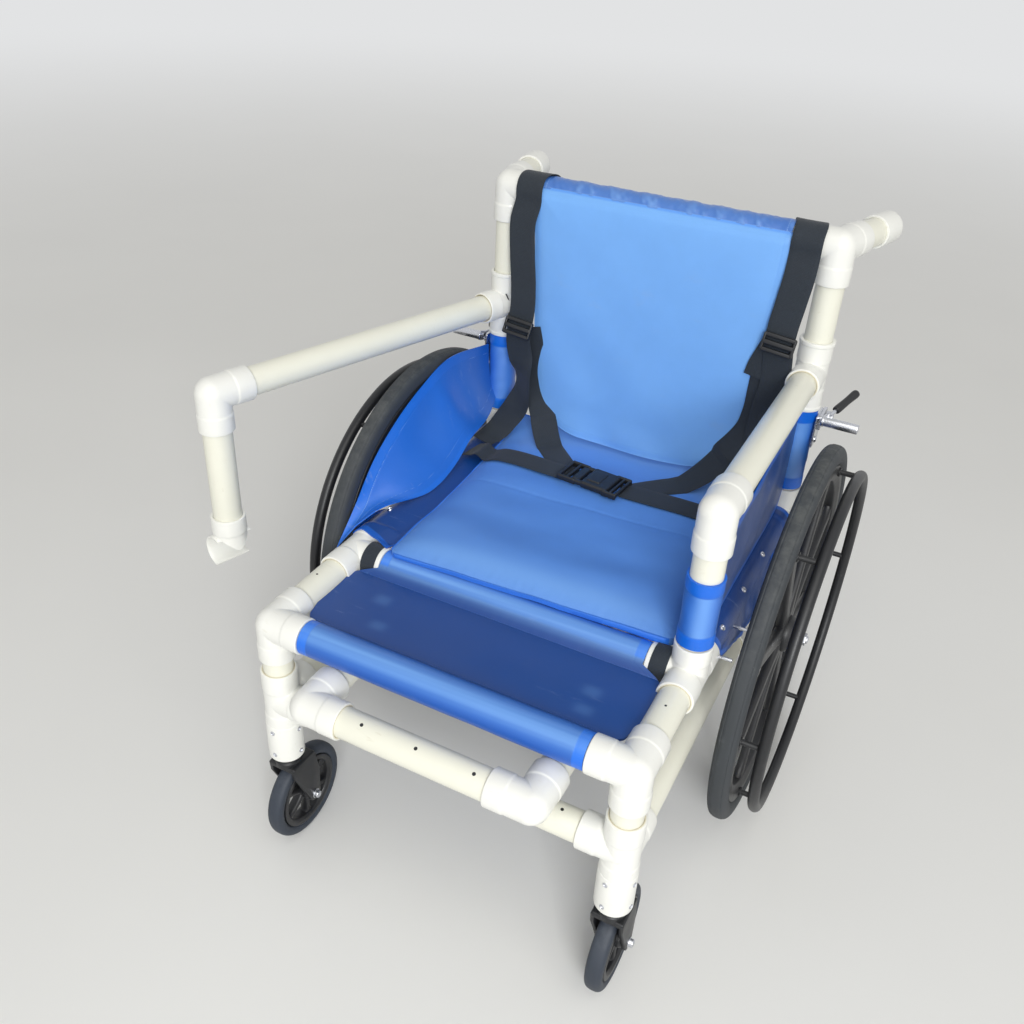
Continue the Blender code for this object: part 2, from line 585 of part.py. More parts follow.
def build_caster(make, side, sign):
    """Fork, wheel and tyre of one swivelling caster."""
    swivel = make.carrier(f"caster_swivel_{side}", make.root, (sign * HALF_W, 0.0, 0.0))
    lobe = []
    for k in range(7):
        a = math.pi + math.pi * k / 6
        lobe.append((CASTER_TRAIL + 0.0125 * math.cos(a), CASTER_R + 0.0125 * math.sin(a)))
    outline = [(-0.017, 0.1630)] + lobe + [(0.034, 0.1630)]
    stem = [(0.1580, 0.0185), (0.1812, 0.0185), (0.1812, STEM_R), (0.2480, STEM_R)]
    adds = [turned((0, 0, 0), (0, 0, 1), stem),
            box((-FORK_OUT, -0.0165, 0.1570), (FORK_OUT, 0.0335, 0.1640)),
            plate(outline, "x", FORK_IN, FORK_OUT), plate(outline, "x", -FORK_OUT, -FORK_IN)]
    bolt = [(-0.0310, 0.0065), (-FORK_OUT + 0.001, 0.0065), (-FORK_OUT + 0.001, BOLT_R),
            (FORK_OUT - 0.001, BOLT_R), (FORK_OUT - 0.001, 0.0065), (0.0310, 0.0065)]
    adds.append(turned((0, CASTER_TRAIL, CASTER_R), (1, 0, 0), bolt))
    make.piece(f"caster_fork_{side}", "black_plastic", adds, parent=swivel)

    axle = make.carrier(f"caster_axle_{side}", swivel, (0.0, CASTER_TRAIL, CASTER_R))
    axis = (1, 0, 0)
    rim_half = CASTER_HALF - 0.001
    rim = [(-rim_half, CASTER_RIM_IN_R), (rim_half, CASTER_RIM_IN_R), (rim_half, CASTER_RIM_R),
           (-rim_half, CASTER_RIM_R)]
    adds = [ring_solid((0, 0, 0), axis, rim, CASTER_SIDES),
            rod((-CASTER_HUB_HALF, 0, 0), (CASTER_HUB_HALF, 0, 0), CASTER_HUB_R)]
    for k in range(CASTER_SPOKES):
        a = 2.0 * math.pi * (k + 0.5) / CASTER_SPOKES
        out, across = Vector((0, math.cos(a), math.sin(a))), Vector((0, -math.sin(a), math.cos(a)))
        rings = []
        for r, half in ((CASTER_HUB_R - 0.004, 0.0045), (CASTER_RIM_IN_R + 0.003, 0.0060)):
            c, deep = out * r, Vector((0.0075, 0, 0))
            rings.append([c - across * half - deep, c + across * half - deep, c + across * half + deep,
                          c - across * half + deep])
        adds.append(loft(rings))
    make.piece(f"caster_wheel_{side}", "black_plastic", adds, [rod((-0.03, 0, 0), (0.03, 0, 0), BOLT_R + GAP)],
               parent=axle)
    half_tyre = [(rim_half, CASTER_TYRE_IN_R), (CASTER_HALF, CASTER_R - 0.008), (0.0050, CASTER_R)]
    tyre = half_tyre + [(-along, r) for along, r in reversed(half_tyre)]
    make.piece(f"caster_tyre_{side}", "caster_rubber", [ring_solid((0, 0, 0), axis, tyre, CASTER_SIDES)],
               parent=axle)


def build_lock(make, side, sign):
    """Plate bolted to the upright, the pivoted lever with its bar, and the lever's grip."""
    (py, pz), (by, bz) = LOCK_PIVOT, LOCK_BAR
    face, pin_end = LOCK_BAR_X[0] - 0.001, 0.3065
    (x0, x1), (y0, y1), (z0, z1) = LOCK_PLATE_X, LOCK_PLATE_Y, LOCK_PLATE_Z

    def sided(low, high):
        return box(*zip(*[sorted((sign * low[0], sign * high[0])), (low[1], high[1]), (low[2], high[2])]))

    adds = [sided((x0, y0, z0), (x1, y1, z1)), sided((x1 - 0.001, 0.642, 0.588), (face, 0.686, z1 - 0.002)),
            rod((sign * (x0 + 0.001), py, pz), (sign * pin_end, py, pz), BOLT_R)]
    for z in LOCK_BOLT_Z:
        steps = [(HALF_W - 0.012, LOCK_BOLT_R), (x1 - 0.001, LOCK_BOLT_R), (x1 - 0.001, 0.0055),
                 (x1 + 0.0032, 0.0055)]
        adds.append(turned((0, BACK_Y, z), (sign, 0, 0), steps, 8))
    make.piece(f"lock_clamp_{side}", "steel", adds)

    pivot = make.carrier(f"lock_pivot_{side}", make.root, (sign * LOCK_BAR_X[0], py, pz))
    rise = math.radians(LOCK_LEVER_DEG)
    reach = Vector((sign * 0.40, math.cos(rise), math.sin(rise))).normalized()
    to_bar = Vector((0, by - py, bz - pz))
    across = Vector((0, -to_bar.z, to_bar.y)).normalized()
    thick = Vector((sign * 0.004, 0, 0))
    link = [[-across * 0.006, across * 0.006, across * 0.006 + thick, -across * 0.006 + thick],
            [to_bar - across * 0.006, to_bar + across * 0.006, to_bar + across * 0.006 + thick,
             to_bar - across * 0.006 + thick]]
    bar_len = LOCK_BAR_X[1] - LOCK_BAR_X[0]
    root_at = Vector((sign * 0.003, 0, 0))
    make.piece(f"lock_lever_{side}", "steel",
               [rod((0, 0, 0), (sign * 0.006, 0, 0), 0.0105), loft(link),
                rod(to_bar, to_bar + Vector((sign * bar_len, 0, 0)), LOCK_BAR_R),
                rod(root_at, root_at + reach * 0.060, 0.0032, 8)],
               [rod((-0.02, 0, 0), (0.02, 0, 0), BOLT_R + GAP)], parent=pivot)
    make.piece(f"lock_grip_{side}", "black_plastic",
               [rod(root_at + reach * 0.020, root_at + reach * 0.072, 0.0065)],
               [rod(root_at, root_at + reach * 0.0605, 0.0035, 8)], parent=pivot)


def sling_top(x):
    """Height of the seat sling's upper face across the chair."""
    return SEAT_Z + SLING_R - SLING_SAG * max(0.0, 1.0 - (x / 0.24) ** 2)


def cushion_bed(x, y):
    """Height of the cushion's underside: level over the front crossbar, then down on the sling."""
    blend = min(1.0, max(0.0, (y - 0.256) / 0.09))
    blend = blend * blend * (3.0 - 2.0 * blend)
    return CUSHION_BED - blend * (CUSHION_BED - sling_top(x) - 0.0006)


def cushion_place(along, back):
    """Plan position of a point given from the cushion's own middle, as the cushion lies a little askew."""
    turn = math.radians(CUSHION_YAW_DEG)
    return (CUSHION_AT[0] + along * math.cos(turn) - back * math.sin(turn),
            CUSHION_AT[1] + along * math.sin(turn) + back * math.cos(turn))


def cushion_top(x, y):
    """Height of the cushion's crowned upper face, drawn down along its edges."""
    turn = math.radians(CUSHION_YAW_DEG)
    dx, dy = x - CUSHION_AT[0], y - CUSHION_AT[1]
    along, back = dx * math.cos(turn) + dy * math.sin(turn), dy * math.cos(turn) - dx * math.sin(turn)
    u, v = abs(along) / CUSHION_HALF[0], abs(back) / CUSHION_HALF[1]
    crown = max(0.0, (1.0 - u ** 5) * (1.0 - v ** 6)) ** 0.6
    seam = CHANNEL_DEPTH * max(0.0, 1.0 - abs(back - CHANNEL_BACK) / CHANNEL_HALF) * crown
    return cushion_bed(x, y) + CUSHION_EDGE + (CUSHION_RISE - CUSHION_EDGE) * crown - seam


def on_cushion(x, y, half=WEB_W / 2):
    """Height that clears the cushion's crown under a band's full width."""
    return max(cushion_top(x, y - half), cushion_top(x, y), cushion_top(x, y + half))


def build_seat(make):
    """Leg panel, seat sling and seat cushion."""
    out_r = SOCKET_R + FABRIC
    inner, outer = LEG_PANEL_HALF
    edge = [(inner, 0.0), (inner, 0.0275), (outer, 0.0360), (outer, 0.1560), (inner, 0.1645), (inner, TEE_Y)]
    adds = [plate(edge + [(-x, y) for x, y in reversed(edge)], "z", SEAT_Z - FABRIC / 2, SEAT_Z + FABRIC / 2)]
    adds += [rod((-inner, y, SEAT_Z), (inner, y, SEAT_Z), out_r) for y in (0.0, TEE_Y)]
    cuts = [rod((-0.25, y, SEAT_Z), (0.25, y, SEAT_Z), SOCKET_R) for y in (0.0, TEE_Y)]
    cuts += [rod((s * FOOT_HALF, TEE_Y, SEAT_Z), (s * FOOT_HALF, TEE_Y, 0.38), GUIDE_NECK_R + 0.0008)
             for s in (-1, 1)]
    make.piece("leg_panel", "blue_mesh", adds, cuts)

    # The sling's path: up round the outside of one rail, across with a sag, and round the other.
    mid_r = SOCKET_R + FABRIC / 2
    wrap = [math.radians(a) for a in (96, 78, 60, 42, 24, 8)]
    left = [(-HALF_W - mid_r * math.sin(a), SEAT_Z + mid_r * math.cos(a)) for a in wrap]
    across = [(x, sling_top(x) - FABRIC / 2) for x in np.linspace(-0.24, 0.24, 13)]
    right = [(-x, z) for x, z in reversed(left)]
    y_mid, width = sum(SLING_Y) / 2, SLING_Y[1] - SLING_Y[0]
    flap_x = (HALF_W + SOCKET_R, HALF_W + SLING_R)
    make.piece("seat_sling", "blue_mesh",
               [ribbon([(x, y_mid, z) for x, z in left + across + right], (0, 1, 0), width, FABRIC),
                plate(FLAP, "x", *flap_x), plate(FLAP, "x", -flap_x[1], -flap_x[0])])

    cols, rows = 13, 11
    low, high = [], []
    seam_rows = (CHANNEL_BACK - CHANNEL_HALF, CHANNEL_BACK, CHANNEL_BACK + CHANNEL_HALF)
    plain_rows = [back for back in np.linspace(-CUSHION_HALF[1], CUSHION_HALF[1], rows)
                  if abs(back - CHANNEL_BACK) > 2.0 * CHANNEL_HALF]
    for back in sorted([*plain_rows, *seam_rows]):
        reach = CUSHION_HALF[0] - 0.006 * max(0.0, abs(back) / CUSHION_HALF[1] - 0.8) / 0.2
        steps = np.linspace(-reach, reach, cols)
        lower, upper = [[cushion_place(along * shrink, back) for along in steps] for shrink in (0.985, 1.0)]
        low.append([Vector((x, y, cushion_bed(x, y))) for x, y in lower])
        high.append([Vector((x, y, cushion_top(x, y))) for x, y in upper])
    make.piece("seat_cushion", "blue_mesh", [sheet(low, high)])


def panel_face(u, v):
    """Front face of the back panel: crowned, and leaning forward towards its foot."""
    y_mid = BACK_Y - 0.0242 - PANEL_LEAN * (1.0 - v)
    crown = max(0.0, (1.0 - abs(u) ** 4) * (1.0 - (2.0 * v - 1.0) ** 6)) ** 0.7
    return y_mid, 0.0018 + 0.0070 * crown


def build_back(make):
    """Back panel hung from a sleeve on the top crossbar."""
    cols, rows = 9, 10
    front, rear = [], []
    for v in np.linspace(0.0, 1.0, rows):
        half = PANEL_HALF[0] + (PANEL_HALF[1] - PANEL_HALF[0]) * min(1.0, v * 1.15)
        z = PANEL_Z[0] + (PANEL_Z[1] - PANEL_Z[0]) * v
        front_row, rear_row = [], []
        for u in np.linspace(-1.0, 1.0, cols):
            y_mid, swell = panel_face(u, v)
            drop = PANEL_CORNER * abs(u) ** 4.5 * max(0.0, 1.0 - v / 0.30)
            front_row.append(Vector((u * half, y_mid - swell, z + drop)))
            rear_row.append(Vector((u * half, y_mid + 0.0018, z + drop)))
        front.append(front_row)
        rear.append(rear_row)
    half = PANEL_HALF[1] - 0.0005
    make.piece("back_panel", "blue_mesh",
               [sheet(front, rear), rod((-half, BACK_Y, TOP_Z), (half, BACK_Y, TOP_Z), SOCKET_R + 0.0020)],
               [rod((-0.25, BACK_Y, TOP_Z), (0.25, BACK_Y, TOP_Z), SOCKET_R)])


def build_side_panels(make):
    """The tight panel between the fixed arm's posts, and the loose one that leans on the other wheel."""
    rear = rod((HALF_W, BACK_Y, REAR_SLEEVE_Z[0]), (HALF_W, BACK_Y, REAR_SLEEVE_Z[1]), SLEEVE_R)
    seat_top = SEAT_Z + SLING_R + 0.0010
    outline = [(TEE_Y, SLEEVE_Z[0]), (0.2500, SLEEVE_Z[0]), (0.2500, seat_top), (0.5915, seat_top),
               (0.5945, 0.4510), (0.6200, 0.4510), (0.6200, REAR_SLEEVE_Z[0]), (BACK_Y, REAR_SLEEVE_Z[0]),
               (BACK_Y, REAR_SLEEVE_Z[1]), (TEE_Y, SLEEVE_Z[1])]
    posts = [rod((HALF_W, y, 0.46), (HALF_W, y, 0.64), SOCKET_R) for y in (TEE_Y, BACK_Y)]
    make.piece("side_panel_right", "blue_mesh",
               [plate(outline, "x", HALF_W - FABRIC / 2, HALF_W + FABRIC / 2), rear,
                rod((HALF_W, TEE_Y, SLEEVE_Z[0]), (HALF_W, TEE_Y, SLEEVE_Z[1]), SLEEVE_R)],
               posts + lock_bolt_holes(1))

    # Rows of points from the lower edge to the upper one, sagging a little towards the wheel between them.
    steps = np.linspace(0.0, len(LOOSE_LOW) - 1.0, 15)
    knots = np.arange(len(LOOSE_LOW))
    low = np.array([np.interp(steps, knots, axis) for axis in np.array(LOOSE_LOW).T]).T[:, None, :]
    high = np.array([np.interp(steps, knots, axis) for axis in np.array(LOOSE_HIGH).T]).T[:, None, :]
    v = np.linspace(0.0, 1.0, 8)[None, :, None]
    grid = low + (high - low) * v + LOOSE_SAG * np.sin(math.pi * v) * np.array((-0.6, 0.0, -0.8))
    normal = np.cross(np.gradient(grid, axis=0), np.gradient(grid, axis=1))
    normal /= np.linalg.norm(normal, axis=2, keepdims=True)
    normal *= np.sign(normal[7, 4, 0])
    faces = [[[Vector(p) for p in row] for row in layer] for layer in (grid, grid + FABRIC * normal)]
    rear = rod((-HALF_W, BACK_Y, REAR_SLEEVE_Z[0]), (-HALF_W, BACK_Y, REAR_SLEEVE_Z[1]), SLEEVE_R)
    post = rod((-HALF_W, BACK_Y, 0.46), (-HALF_W, BACK_Y, 0.64), SOCKET_R)
    make.piece("side_panel_left", "blue_mesh",
               [sheet(*faces), rear],
               [post] + lock_bolt_holes(-1))


def build_harness(make):
    """Shoulder straps, lap belt, buckle, adjusters and the bands on the seat crossbar."""
    loop_r = FIT_R + GAP + WEB_T / 2 + 0.0004
    for side, s in (("left", -1), ("right", 1)):
        x = s * 0.2122
        points, across = [], []
        for a in range(-60, 211, 18):
            t = math.radians(a)
            points.append((x, BACK_Y + loop_r * math.cos(t), TOP_Z + loop_r * math.sin(t)))
            across.append((1, 0, 0))
        points += [(x, y, z) for z, y in STRAP_FALL]
        points += [(s * 0.2100, 0.5960, 0.545), (s * 0.2000, 0.5740, 0.515)]
        across += [(1, 0, 0)] * len(STRAP_FALL) + [(1, 0, s * 0.12), (1, 0.25 * s, s * 0.35)]
        lap = [(s * 0.182, 0.560), (s * 0.150, 0.546), (s * 0.112, 0.531), (s * 0.0775, 0.518)]
        for k, (px, py) in enumerate(lap):
            lift = 0.0120 if k == 0 else 0.0048
            points.append((px, py, on_cushion(px, BELT_Y) + lift))
            across.append((0.36 * s, 1.0, 0.0))
        across = [Vector(v) for v in across]
        for k in range(len(points)):
            if k and across[k].dot(across[k - 1]) < 0:
                across[k] = -across[k]
        make.piece(f"shoulder_strap_{side}", "black_webbing", [ribbon(points, across, WEB_W, WEB_T)])
        z = ADJUSTER_Z[side]
        heights, depths = zip(*reversed(STRAP_FALL))
        y_front = float(np.interp(z - 0.0150, heights, depths)) - WEB_T / 2 - 0.0005
        make.piece(f"strap_adjuster_{side}", "black_plastic",
                   [box((x - 0.0255, y_front - 0.0070, z - 0.0150), (x + 0.0255, y_front, z + 0.0150))])

        ends = {"left": -0.0705, "right": 0.0365}
        stops = np.linspace(s * 0.2065, ends[side], 8)
        belt = [(s * 0.2310, BELT_Y, sling_top(0.231) + 0.0016), (s * 0.2265, BELT_Y, 0.4560),
                (s * 0.2195, BELT_Y, 0.4640)]
        belt += [(bx, BELT_Y, on_cushion(bx, BELT_Y) + 0.0014) for bx in stops]
        make.piece(f"lap_belt_{side}", "black_webbing", [ribbon(belt, (0, 1, 0), WEB_W, WEB_T)])
        make.piece(f"crossbar_band_{side}", "black_webbing",
                   [rod((s * BAND_X[0], TEE_Y, SEAT_Z), (s * BAND_X[1], TEE_Y, SEAT_Z), FIT_R + GAP + 0.0009)],
                   [rod((s * 0.20, TEE_Y, SEAT_Z), (s * 0.25, TEE_Y, SEAT_Z), FIT_R + GAP)])
    z0 = cushion_top(-0.017, 0.477) + 0.0008
    near = [(-0.070, 0.482), (-0.036, 0.482), (-0.030, 0.477), (0.026, 0.477), (0.030, 0.480), (0.036, 0.480)]
    far = [(0.036, 0.536), (0.030, 0.536), (0.026, 0.539), (-0.030, 0.539), (-0.036, 0.534), (-0.070, 0.534)]
    make.piece("buckle", "black_plastic", [plate(near + far, "z", z0, z0 + 0.0120)])


def main():
    """Build the whole chair."""
    clear_scene()
    make = Builder(make_materials())
    for side, sign in (("left", -1), ("right", 1)):
        build_side(make, side, sign)
        build_rear_wheel(make, side, sign)
        build_caster(make, side, sign)
        build_lock(make, side, sign)
    build_crossbars(make)
    build_fixed_arm(make)
    build_swing_arm(make)
    build_footrest(make)
    build_seat(make)
    build_back(make)
    build_side_panels(make)
    build_harness(make)
    bpy.context.view_layer.update()


main()
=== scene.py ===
"""Looks of the pool wheelchair: white plastic pipework, blue mesh fabric, black wheels and webbing.

Metres. Sub-assemblies are written in the chair's own coordinates: x = 0 on the centre plane, y = 0 on the
front legs and z = 0 on the floor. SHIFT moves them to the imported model's frame when a mesh is made. In the
names, left is -X and right is +X.
"""
import logging
from dataclasses import dataclass, field
from enum import Enum
from math import acos, copysign, cos, pi, radians, sin, sqrt

import bpy
import numpy as np
from mathutils import Matrix, Vector
from numpy.typing import ArrayLike

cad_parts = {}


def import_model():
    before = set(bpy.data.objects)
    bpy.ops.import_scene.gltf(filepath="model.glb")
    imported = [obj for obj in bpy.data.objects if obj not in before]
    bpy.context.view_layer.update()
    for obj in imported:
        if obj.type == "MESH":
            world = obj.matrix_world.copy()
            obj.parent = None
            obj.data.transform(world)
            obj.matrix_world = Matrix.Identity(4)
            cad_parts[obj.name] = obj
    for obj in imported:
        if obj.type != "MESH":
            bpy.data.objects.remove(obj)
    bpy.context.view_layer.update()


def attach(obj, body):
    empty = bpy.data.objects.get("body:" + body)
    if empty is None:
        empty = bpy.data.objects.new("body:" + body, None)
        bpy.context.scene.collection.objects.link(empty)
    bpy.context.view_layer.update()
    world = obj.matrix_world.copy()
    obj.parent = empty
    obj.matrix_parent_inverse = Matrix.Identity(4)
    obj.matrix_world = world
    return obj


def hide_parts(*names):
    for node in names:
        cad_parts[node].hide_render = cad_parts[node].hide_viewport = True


LOG = logging.getLogger("chair")
SHIFT = np.array((0.0421, -0.358, 0.0))
SIDES = (("left", -1.0), ("right", 1.0))
X, Y, Z = np.eye(3)
FITTING = {"fitting": 1.0, "glue": 0.0}


@dataclass(frozen=True)
class Chair:
    """Driving sizes that the sub-assemblies share, in metres and in the chair's own coordinates."""

    half_width: float = 0.262
    low: float = 0.291
    seat: float = 0.424
    arm: float = 0.676
    top: float = 0.872
    tee: float = 0.192
    axle: float = 0.498
    axle_height: float = 0.305
    back: float = 0.65
    pipe: float = 0.0211
    cloth: float = 0.0016
    webbing: float = 0.045


CHAIR = Chair()


class Finish(Enum):
    """Names of the finishes, each a material."""

    PIPE = "white_plastic"
    SEAT_MESH = "seat_mesh_cloth"
    DARK_MESH = "dark_mesh_cloth"
    PADDED_MESH = "light_mesh_cloth"
    COATED_MESH = "deep_mesh_cloth"
    WEBBING = "black_webbing"
    MOULDED = "black_moulding"
    TYRE = "grey_tyre_rubber"
    CASTER = "caster_tyre_rubber"
    STEEL = "bright_steel"


def unit(vector: ArrayLike) -> np.ndarray:
    """The vector at length one, along the last axis."""
    vector = np.asarray(vector, float)
    return vector / np.maximum(np.linalg.norm(vector, axis=-1, keepdims=True), 1e-12)


def held(value: ArrayLike) -> np.ndarray:
    """The value, held between 0 and 1."""
    return np.clip(value, 0.0, 1.0)


def within(distance: ArrayLike, width: float, soft: float) -> np.ndarray:
    """A soft step: 1 well inside a width, 0 from the width on, and even between."""
    return held((width - distance) / soft)


def beyond(distance: ArrayLike, width: float, soft: float) -> np.ndarray:
    """A soft step: 0 up to a width, 1 well past it, and even between."""
    return held((distance - width) / soft)


def bell(offset: ArrayLike, width: float) -> np.ndarray:
    """A bell curve, exp(-(offset / width)^2)."""
    return np.exp(-(offset / width) ** 2)


def around(count: int) -> np.ndarray:
    """Angles spaced evenly round a circle, from zero."""
    return np.linspace(0.0, 2.0 * pi, count, endpoint=False)


def squared(wave: ArrayLike, power: float) -> np.ndarray:
    """A wave drawn towards a square one: its size to a power below one, with its sign kept."""
    return np.sign(wave) * np.abs(wave) ** power


def smoothed(values: np.ndarray, reach: int) -> np.ndarray:
    """A row of values, each made the mean of those up to reach places before and after it."""
    window = np.ones(2 * reach + 1) / (2 * reach + 1)
    return np.convolve(np.pad(values, reach, mode="edge"), window, mode="valid")


def grid_of(*coordinates: ArrayLike) -> np.ndarray:
    """Points from their coordinates, each coordinate spread over the whole grid."""
    return np.stack(np.broadcast_arrays(*coordinates), axis=-1)


def run_along(points: np.ndarray, axis: int = 0) -> np.ndarray:
    """Length from the start along a line of points, or along each line of a grid, its chords added up."""
    steps = np.linalg.norm(np.diff(points, axis=axis), axis=-1)
    return np.concatenate((np.zeros_like(steps.take([0], axis)), np.cumsum(steps, axis=axis)), axis=axis)


def side_axes(axis: ArrayLike) -> tuple[np.ndarray, np.ndarray]:
    """Two directions square to an axis and to each other.

    Args:
        axis: the direction that both are square to.
    Returns:
        The first and second direction, right-handed with the axis.
    """
    axis = unit(axis)
    helper = X if abs(axis[2]) > 0.8 else Z
    first = unit(np.cross(helper, axis))
    return first, np.cross(axis, first)


def eased(corners: ArrayLike, radii: ArrayLike, steps: int = 5, closed: bool = False) -> np.ndarray:
    """Round the corners of a line of points.

    Each corner is replaced by a parabola that leaves the incoming edge one radius before the corner and
    joins the outgoing edge one radius after it: P(t) = (1-t)^2 A + 2 t (1-t) corner + t^2 B.

    Args:
        corners: the line's points, in two or three dimensions.
        radii: one radius for all corners, or one for each.
        steps: how many points stand for each corner.
        closed: whether the last point joins the first.
    Returns:
        The rounded line's points.
    """
    p = np.asarray(corners, float)
    r = np.broadcast_to(np.asarray(radii, float), len(p)).copy()
    before, after = np.roll(p, 1, axis=0) - p, np.roll(p, -1, axis=0) - p
    if not closed:
        r[[0, -1]] = 0.0
    long_in, long_out = np.linalg.norm(before, axis=1), np.linalg.norm(after, axis=1)
    r = np.minimum(r, 0.49 * np.minimum(long_in, long_out))
    a, b = p + unit(before) * r[:, None], p + unit(after) * r[:, None]
    t = np.linspace(0.0, 1.0, steps)[None, :, None]
    curve = (1 - t) ** 2 * a[:, None] + 2 * t * (1 - t) * p[:, None] + t ** 2 * b[:, None]
    keep = np.ones((len(p), steps), bool)
    keep[r < 1e-6, 1:] = False
    return curve[keep]


def smooth_line(points: ArrayLike, count: int, values: ArrayLike | None = None) -> np.ndarray:
    """A smooth curve through a few points, evenly read along their chords.

    Between two points the curve is the cubic that has each point's own slope, taken from its neighbours.

    Args:
        points: the points that the curve goes through.
        count: how many points to return.
        values: something else known at each point, to be read at the same places instead.
    Returns:
        The curve's points, or the values there, an array of count rows.
    """
    p = np.asarray(points, float)
    along = run_along(p)
    p = p if values is None else np.asarray(values, float)
    slope = np.gradient(p, along, axis=0)
    s = np.linspace(0.0, along[-1], count)
    k = np.clip(np.searchsorted(along, s, side="right") - 1, 0, len(p) - 2)
    span = (along[k + 1] - along[k])[:, None]
    t = (s - along[k])[:, None] / span
    return ((2 * t ** 3 - 3 * t ** 2 + 1) * p[k] + (t ** 3 - 2 * t ** 2 + t) * span * slope[k]
            + (3 * t ** 2 - 2 * t ** 3) * p[k + 1] + (t ** 3 - t ** 2) * span * slope[k + 1])


def turned(origin: ArrayLike, axis: ArrayLike, profile: ArrayLike, sides: int = 48) -> np.ndarray:
    """A profile turned round an axis: origin + along * axis + radius * (cos a, sin a).

    Args:
        origin: the point that the profile is measured from.
        axis: the direction of the axis.
        profile: pairs of distance along the axis and radius.
        sides: how many points each ring has.
    Returns:
        A grid of points, one row for each pair.
    """
    profile = np.asarray(profile, float)
    first, second = side_axes(axis)
    a = around(sides)
    ring = np.cos(a)[:, None] * first + np.sin(a)[:, None] * second
    along, radius = profile[:, 0, None, None], profile[:, 1, None, None]
    return np.asarray(origin, float) + along * unit(axis) + radius * ring


def band(path: ArrayLike, across: ArrayLike, width: float, thick: float, edge_steps: int = 4) -> np.ndarray:
    """A flat band carried along a path: a rounded rectangle set across the path at each of its points.

    Args:
        path: the points of the band's middle.
        across: the direction of its width, one for all points or one for each.
        width: the band's width.
        thick: its thickness.
        edge_steps: points on each rounded edge.
    Returns:
        A grid of points, one closed row for each point of the path.
    """
    path = np.asarray(path, float)
    ahead = unit(np.gradient(path, axis=0))
    across = np.broadcast_to(np.asarray(across, float), path.shape)
    across = unit(across - np.sum(across * ahead, axis=1, keepdims=True) * ahead)
    out = np.cross(across, ahead)
    edge = np.linspace(-pi / 2, pi / 2, edge_steps)
    straight = width / 2 - thick / 2
    flat = np.linspace(-1.0, 1.0, 7)[1:-1] * straight
    u = np.concatenate((straight + np.cos(edge) * thick / 2, flat[::-1],
                        -straight - np.cos(edge) * thick / 2, flat))
    v = np.concatenate((np.sin(edge) * thick / 2, np.full(5, thick / 2),
                        -np.sin(edge) * thick / 2, np.full(5, -thick / 2)))
    return path[:, None] + u[None, :, None] * across[:, None] + v[None, :, None] * out[:, None]


def rounded_box(centre: ArrayLike, half: ArrayLike, radius: float, axes: ArrayLike = np.eye(3),
                steps: int = 20) -> np.ndarray:
    """A box with rounded edges: a sphere's points, each moved out to its own corner of the inner box.

    Args:
        centre: the box's middle.
        half: its three half sizes.
        radius: the rounding of its edges.
        axes: three directions for its sides, one in each row.
        steps: how finely the sphere is divided.
    Returns:
        A grid of points whose rows are closed and whose ends are poles.
    """
    polar = ((np.arange(steps) + 0.5) * pi / steps)[:, None]
    turn = (np.arange(2 * steps) + 0.5) * pi / steps
    normal = grid_of(np.sin(polar) * np.cos(turn), np.sin(polar) * np.sin(turn), np.cos(polar))
    local = np.sign(normal) * (np.asarray(half, float) - radius) + normal * radius
    return np.asarray(centre, float) + local @ np.asarray(axes, float)


def surface_normals(grid: np.ndarray) -> np.ndarray:
    """Unit normals of a grid of points, from the cross product of its two slopes."""
    return unit(np.cross(np.gradient(grid, axis=0), np.gradient(grid, axis=1)))


def lengths_of(grid: np.ndarray, wrap_rows: bool = False, wrap_cols: bool = False) -> np.ndarray:
    """Texture coordinates in metres: the mean length along the rows and along the columns.

    Args:
        grid: the points.
        wrap_rows: whether the last row meets the first again.
        wrap_cols: whether the last column meets the first again.
    Returns:
        An array with one more row or column where the grid wraps.
    """
    full = np.concatenate((grid, grid[:1]), axis=0) if wrap_rows else grid
    full = np.concatenate((full, full[:, :1]), axis=1) if wrap_cols else full
    down = np.linalg.norm(np.diff(full, axis=0), axis=2).mean(axis=1)
    over = np.linalg.norm(np.diff(full, axis=1), axis=2).mean(axis=0)
    v, u = np.concatenate(([0.0], np.cumsum(down))), np.concatenate(([0.0], np.cumsum(over)))
    return np.stack(np.meshgrid(u, v), axis=-1)


def quads_of(rows: int, cols: int, wrap_rows: bool = False, wrap_cols: bool = False) -> np.ndarray:
    """Corner numbers of the four-sided faces of a grid.

    Args:
        rows: how many rows of points the grid has.
        cols: how many points each row has.
        wrap_rows: whether the last row meets the first again.
        wrap_cols: whether the last column meets the first again.
    Returns:
        Four numbers for each face.
    """
    i = np.arange(rows if wrap_rows else rows - 1)[:, None]
    j = np.arange(cols if wrap_cols else cols - 1)[None, :]
    below, beside = (i + 1) % rows * cols, (j + 1) % cols
    return np.stack((i * cols + j, below + j, below + beside, i * cols + beside), -1).reshape(-1, 4)


